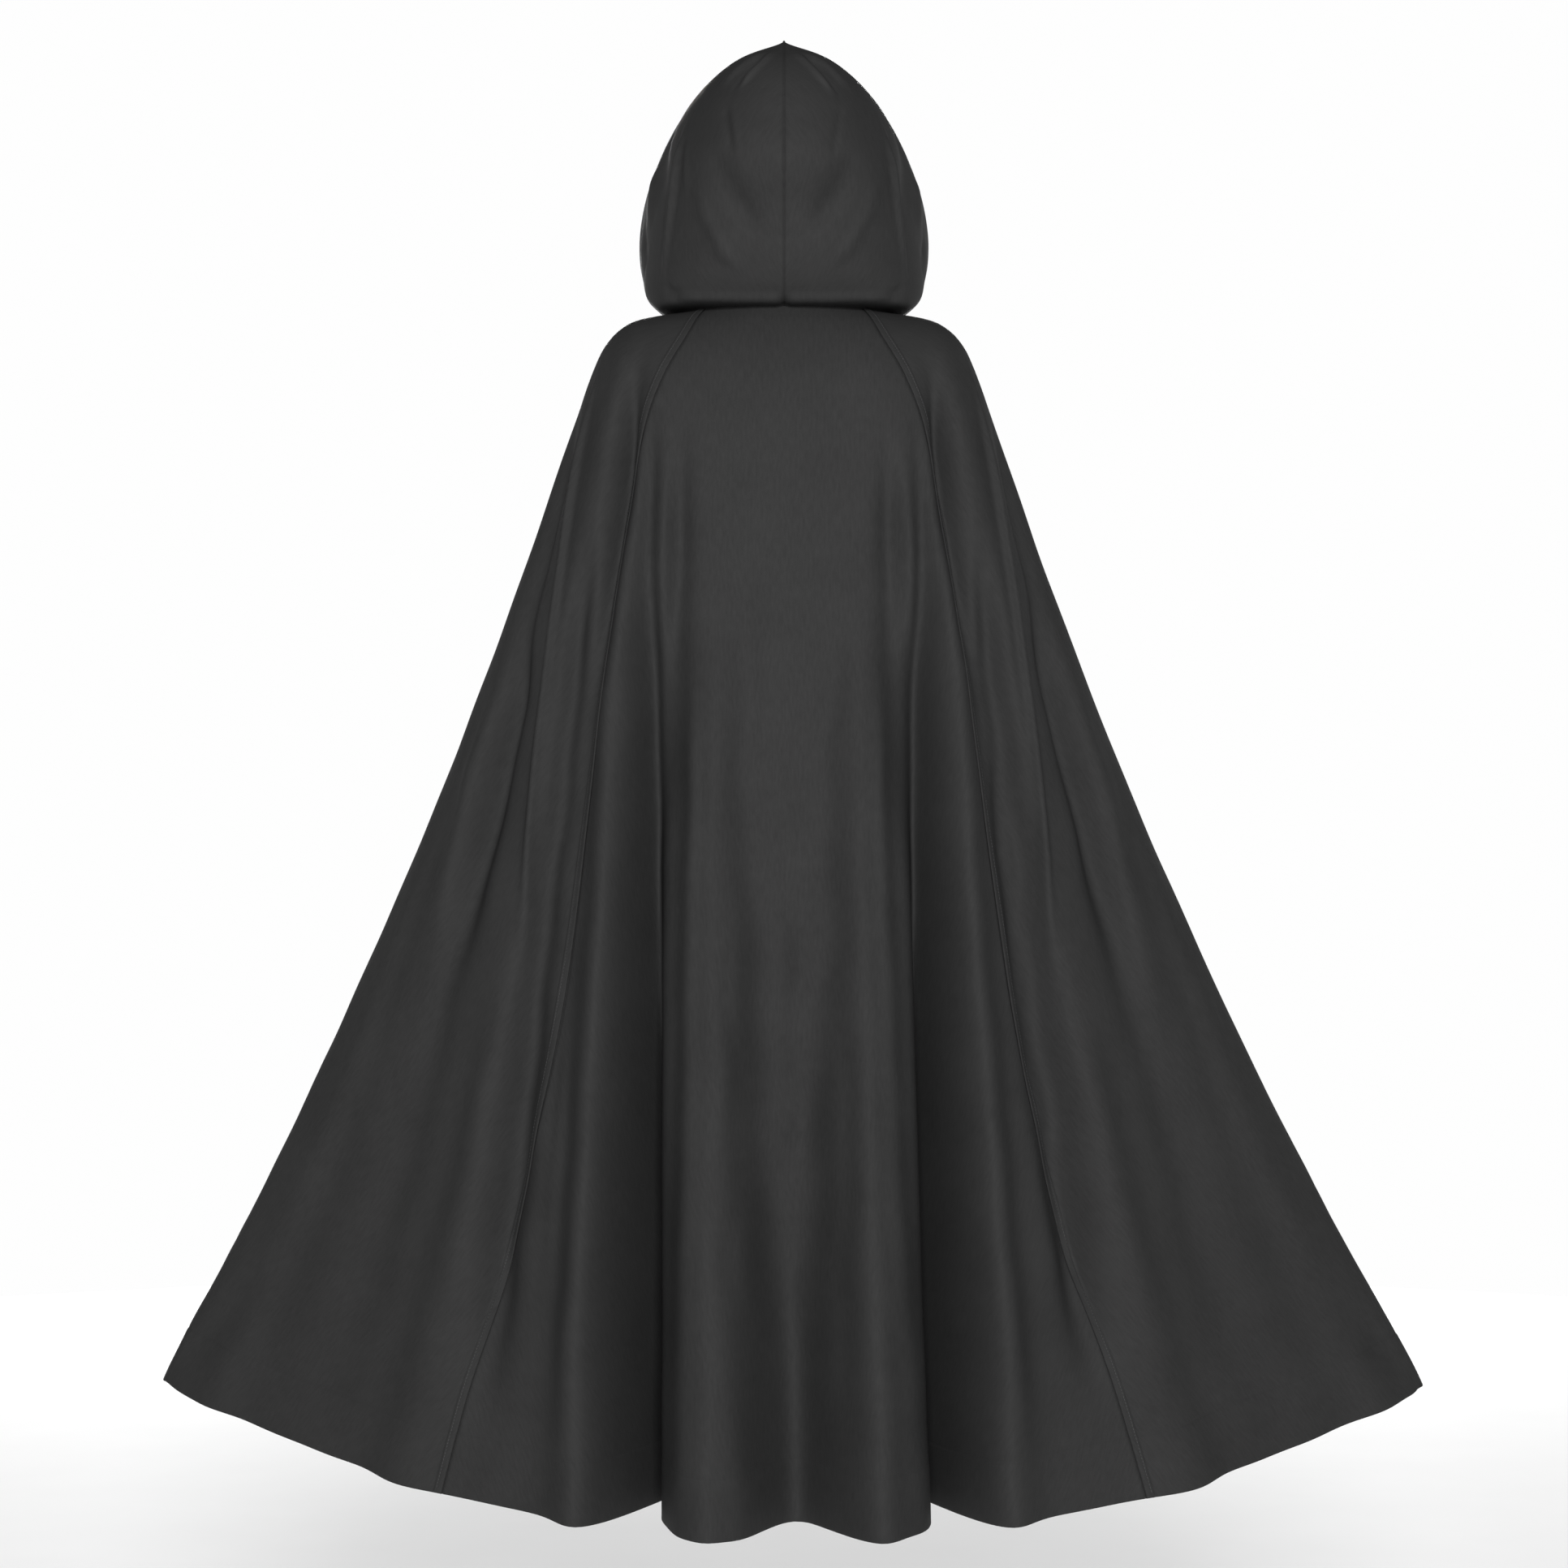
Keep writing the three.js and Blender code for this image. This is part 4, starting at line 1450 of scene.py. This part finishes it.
@dataclass(frozen=True)
class WoolFinish:
    """Milled charcoal wool: a short brushed nap with a faint upright grain and a soft sheen."""

    name: str = "charcoal_wool"
    dark: tuple[float, float, float] = (0.0132, 0.0132, 0.0132)
    light: tuple[float, float, float] = (0.0218, 0.0218, 0.0218)
    roughness: float = 0.74
    specular: float = 0.08
    streak: tuple[float, float, float] = (330.0, 62.0, 1.0)
    nap: tuple[float, float, float] = (1500.0, 900.0, 1.0)
    cloud: float = 14.0
    bump_depth: float = 0.00028

    def build(self) -> bpy.types.Material:
        """Makes the material.

        The tone is a sum of three noises on the cloth's own UV and the object's coordinates: short
        upright streaks, the fine nap and broad clouds. The nap and streaks also make the bump.

        Returns:
            The material.
        """
        n = Nodes.material(self.name)
        place = n.add("ShaderNodeTexCoord", output="UV")
        where = n.add("ShaderNodeTexCoord", output="Object")
        streak = n.noise(n.stretched(place, self.streak), 1.0, 3.0, 0.6)
        nap = n.noise(n.stretched(place, self.nap), 1.0, 2.0, 0.7)
        cloud = n.noise(where, self.cloud, 3.0, 0.5)
        tone = 0.42 * streak + 0.36 * nap + 0.22 * cloud
        tone = n.add("ShaderNodeValToRGB", {"stops": [(0.3, 0.0), (0.7, 1.0)]}, {"Fac": tone})
        height = 0.6 * nap + 0.4 * streak
        bump = n.add(
            "ShaderNodeBump", {}, {"Strength": 0.55, "Distance": self.bump_depth, "Height": height}
        )
        shader = n.add(
            "ShaderNodeBsdfPrincipled",
            {},
            {
                "Base Color": n.blend(tone, rgba(self.dark), rgba(self.light)),
                "Roughness": self.roughness - 0.06 * streak,
                "Normal": bump,
                "Specular IOR Level": self.specular,
            },
        )
        return n.finish(shader)


@dataclass(frozen=True)
class ThreadFinish:
    """Matching dark thread, a little glossier than the wool, with twisted plies."""

    name: str = "dark_thread"
    dark: tuple[float, float, float] = (0.014, 0.014, 0.0145)
    light: tuple[float, float, float] = (0.030, 0.030, 0.031)
    twist: float = 2600.0

    def build(self) -> bpy.types.Material:
        """Makes the material: slanted bands on the object's coordinates for the twist."""
        n = Nodes.material(self.name)
        where = n.add("ShaderNodeTexCoord", output="Object")
        bands = {"Vector": where, "Scale": self.twist, "Distortion": 1.5, "Detail": 1.0}
        twist = n.add("ShaderNodeTexWave", {"bands_direction": "DIAGONAL"}, bands, "Fac")
        speckle = n.noise(where, 900.0, 2.0)
        tone = 0.6 * twist + 0.4 * speckle
        bump = n.add("ShaderNodeBump", {}, {"Strength": 0.5, "Distance": 0.0001, "Height": twist})
        shader = n.add(
            "ShaderNodeBsdfPrincipled",
            {},
            {
                "Base Color": n.blend(tone, rgba(self.dark), rgba(self.light)),
                "Roughness": 0.62 + 0.12 * speckle,
                "Normal": bump,
                "Sheen Weight": 0.15,
                "Sheen Roughness": 0.4,
            },
        )
        return n.finish(shader)


@dataclass(frozen=True)
class HornFinish:
    """Dark polished horn with brown veins and a fine scratched gloss."""

    name: str = "dark_horn"
    dark: tuple[float, float, float] = (0.010, 0.009, 0.009)
    vein: tuple[float, float, float] = (0.052, 0.034, 0.022)
    grain: tuple[float, float, float] = (60.0, 260.0, 260.0)

    def build(self) -> bpy.types.Material:
        """Makes the material: stretched noise for the veins and a finer one for the gloss."""
        n = Nodes.material(self.name)
        where = n.add("ShaderNodeTexCoord", output="Object")
        veins = n.noise(n.stretched(where, self.grain), 1.0, 5.0, 0.62)
        share = n.add("ShaderNodeValToRGB", {"stops": [(0.46, 0.0), (0.72, 1.0)]}, {"Fac": veins})
        fine = n.noise(where, 2400.0, 3.0)
        bump = n.add("ShaderNodeBump", {}, {"Strength": 0.3, "Distance": 0.00005, "Height": fine})
        shader = n.add(
            "ShaderNodeBsdfPrincipled",
            {},
            {
                "Base Color": n.blend(share, rgba(self.dark), rgba(self.vein)),
                "Roughness": 0.26 + 0.14 * fine,
                "Normal": bump,
                "Coat Weight": 0.2,
                "Coat Roughness": 0.15,
            },
        )
        return n.finish(shader)


@dataclass(frozen=True)
class PaperFinish:
    """Pale matt studio paper with a barely seen mottle."""

    name: str = "studio_paper"
    pale: tuple[float, float, float] = (0.87, 0.87, 0.87)
    paler: tuple[float, float, float] = (0.90, 0.90, 0.90)

    def build(self) -> bpy.types.Material:
        """Makes the material."""
        n = Nodes.material(self.name)
        where = n.add("ShaderNodeTexCoord", output="Object")
        shader = n.add(
            "ShaderNodeBsdfPrincipled",
            {},
            {
                "Base Color": n.blend(n.noise(where, 6.0, 2.0), rgba(self.pale), rgba(self.paler)),
                "Roughness": 0.95,
                "Specular IOR Level": 0.1,
            },
        )
        return n.finish(shader)


@dataclass(frozen=True)
class Studio:
    """Floor, light and the camera at the photograph's angle, in metres."""

    floor_z: float = -1.8
    floor_radius: float = 4.6
    camera_back: float = 4.2
    camera_z: float = -0.566
    lens: float = 80.13
    sensor: float = 36.0
    ambient: float = 0.99
    ambient_far: float = 0.12
    band_low: float = 0.25
    band_high: float = 0.36
    key_power: float = 1060.0
    key_place: tuple[float, float, float] = (-0.3, 8.5, 1.6)
    key_size: float = 2.6
    front_power: float = 740.0
    front_place: tuple[float, float, float] = (0.2, -8.5, 1.6)

    def build(self) -> None:
        """Makes the camera, the floor, the lights and the pale surroundings."""
        self.add_camera()
        self.add_floor()
        self.add_light("key", self.key_power, self.key_place, self.key_size)
        self.add_light("front key", self.front_power, self.front_place, self.key_size)
        self.add_surroundings()
        bpy.context.scene.view_settings.view_transform = "Standard"
        bpy.context.scene.view_settings.look = "None"

    def add_surroundings(self) -> None:
        """Adds a pale band round the horizon that dims smoothly towards the ceiling and the ground."""
        n = Nodes(bpy.data.worlds.new("surroundings"))
        where = n.add("ShaderNodeTexCoord", output="Generated")
        height = n.add("ShaderNodeSeparateXYZ", {}, {0: where}, "Z")
        steep = height.combine("ABSOLUTE", height)
        ranges = {0: steep, 1: self.band_low, 2: self.band_high, 3: self.ambient, 4: self.ambient_far}
        strength = n.add("ShaderNodeMapRange", {"interpolation_type": "SMOOTHSTEP"}, ranges)
        glow = n.add("ShaderNodeBackground", {}, {"Color": (1.0, 1.0, 1.0, 1.0), "Strength": strength})
        bpy.context.scene.world = n.finish(glow, "ShaderNodeOutputWorld")

    def add_camera(self) -> None:
        """Adds the camera behind the cloak, level, looking towards its front."""
        data = bpy.data.cameras.new("photo_camera")
        data.lens = self.lens
        data.sensor_width = self.sensor
        camera = bpy.data.objects.new("photo_camera", data)
        camera.location = (0.0, self.camera_back, self.camera_z)
        camera.rotation_euler = (math.radians(90), 0.0, math.radians(180))
        bpy.context.scene.collection.objects.link(camera)
        bpy.context.scene.camera = camera

    def add_floor(self) -> None:
        """Adds a round floor: rings of points whose radii grow with the square of their number."""
        rings, sides = 12, 64
        radius = self.floor_radius / MM * (np.arange(1, rings + 1) / rings)[:, None] ** 2
        turn = np.linspace(0, 2 * math.pi, sides, endpoint=False)[None, :]
        x, y = radius * np.cos(turn), radius * np.sin(turn)
        points = np.stack([x, y, np.full_like(x, self.floor_z / MM)], -1).reshape(-1, 3)
        points = np.concatenate([points, [[0.0, 0.0, self.floor_z / MM]]])
        number = np.arange(rings * sides).reshape(rings, sides)
        after = np.roll(number, -1, axis=1)
        bands = np.stack([number[:-1], number[1:], after[1:], after[:-1]], -1).reshape(-1, 4)
        middle = np.full(sides, rings * sides)
        fan = np.stack([number[0], after[0], middle], -1)
        mesh = bpy.data.meshes.new("floor")
        mesh.from_pydata((points * MM).tolist(), [], bands.tolist() + fan.tolist())
        floor = bpy.data.objects.new("floor", mesh)
        bpy.context.scene.collection.objects.link(floor)
        mesh.materials.append(PaperFinish().build())

    def add_light(
        self, name: str, power: float, place: tuple[float, float, float], size: float
    ) -> None:
        """Adds a square soft light that points at the middle of the cloak.

        Args:
            name: the light's name.
            power: in watts.
            place: where it stands.
            size: its side.
        """
        data = bpy.data.lights.new(name, "AREA")
        data.energy = power
        data.size = size
        light = bpy.data.objects.new(name, data)
        light.location = place
        aim = np.array([0.0, 0.0, self.camera_z]) - np.array(place)
        level = math.hypot(aim[0], aim[1])
        turn = math.atan2(aim[1], aim[0]) - math.pi / 2
        light.rotation_euler = (math.atan2(level, -aim[2]), 0.0, turn)
        bpy.context.scene.collection.objects.link(light)


@dataclass(frozen=True)
class Cloak:
    """The whole garment: five cloth pieces, their stitches and the neck button."""

    back: BodyPanel = BodyPanel(
        "back_cloth", "back_panel", Edge.UNDER, Edge.UNDER, back_edges, 222, 208, (1.80, 1.50), 1.22
    )
    left: BodyPanel = BodyPanel(
        "left_front_cloth",
        "left_front_panel",
        Edge.BAND,
        Edge.FRONT,
        left_edges,
        226,
        200,
        (1.90, 1.50),
        1.33,
    )
    right: BodyPanel = BodyPanel(
        "right_front_cloth",
        "right_front_panel",
        Edge.FRONT,
        Edge.BAND,
        right_edges,
        226,
        200,
        (1.90, 1.50),
        1.35,
        laps=True,
    )
    hoods: tuple[HoodHalf, HoodHalf] = (
        HoodHalf("hood_left_cloth", "hood_left", 1.0, LEFT_HOOD_CREASES),
        HoodHalf("hood_right_cloth", "hood_right", -1.0, RIGHT_HOOD_CREASES),
    )

    def build(self) -> None:
        """Makes and dresses every piece, the stitches first."""
        wool, thread = WoolFinish().build(), ThreadFinish().build()
        down = np.linspace(3.0, LENGTH - 3.0, 1500)
        sewn = {
            panel.name: [
                Stitching(panel.name.replace("cloth", "seam_stitches")).dress(
                    [panel.line(Edge.BAND, BAND_STITCH, down)], thread
                ),
                Stitching(panel.name.replace("cloth", "edge_stitches")).dress(
                    [panel.line(Edge.FRONT, EDGE_STITCH, down)], thread
                ),
            ]
            for panel in (self.left, self.right)
        }
        sewn[self.right.name] += NeckFastening(self.right).dress(thread)
        for panel in (self.back, self.left, self.right):
            panel.dress(wool, sewn.get(panel.name, []))
        for half in self.hoods:
            row = Stitching(half.name.replace("cloth", "rim_stitches")).dress([half.rim_line()], thread)
            half.dress(wool, [row])
        self.dress_button()

    @staticmethod
    def dress_button() -> None:
        """Gives the frame's own button its horn."""
        horn = HornFinish().build()
        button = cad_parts["neck_button"]
        if not button.data.materials:
            button.data.materials.append(horn)
        for slot in button.material_slots:
            slot.material = horn
        report(button)


def main() -> None:
    """Builds the studio and the cloak."""
    logging.basicConfig(level=logging.INFO, format="%(name)s: %(message)s")
    Studio().build()
    Cloak().build()


if __name__ == "__main__":
    main()
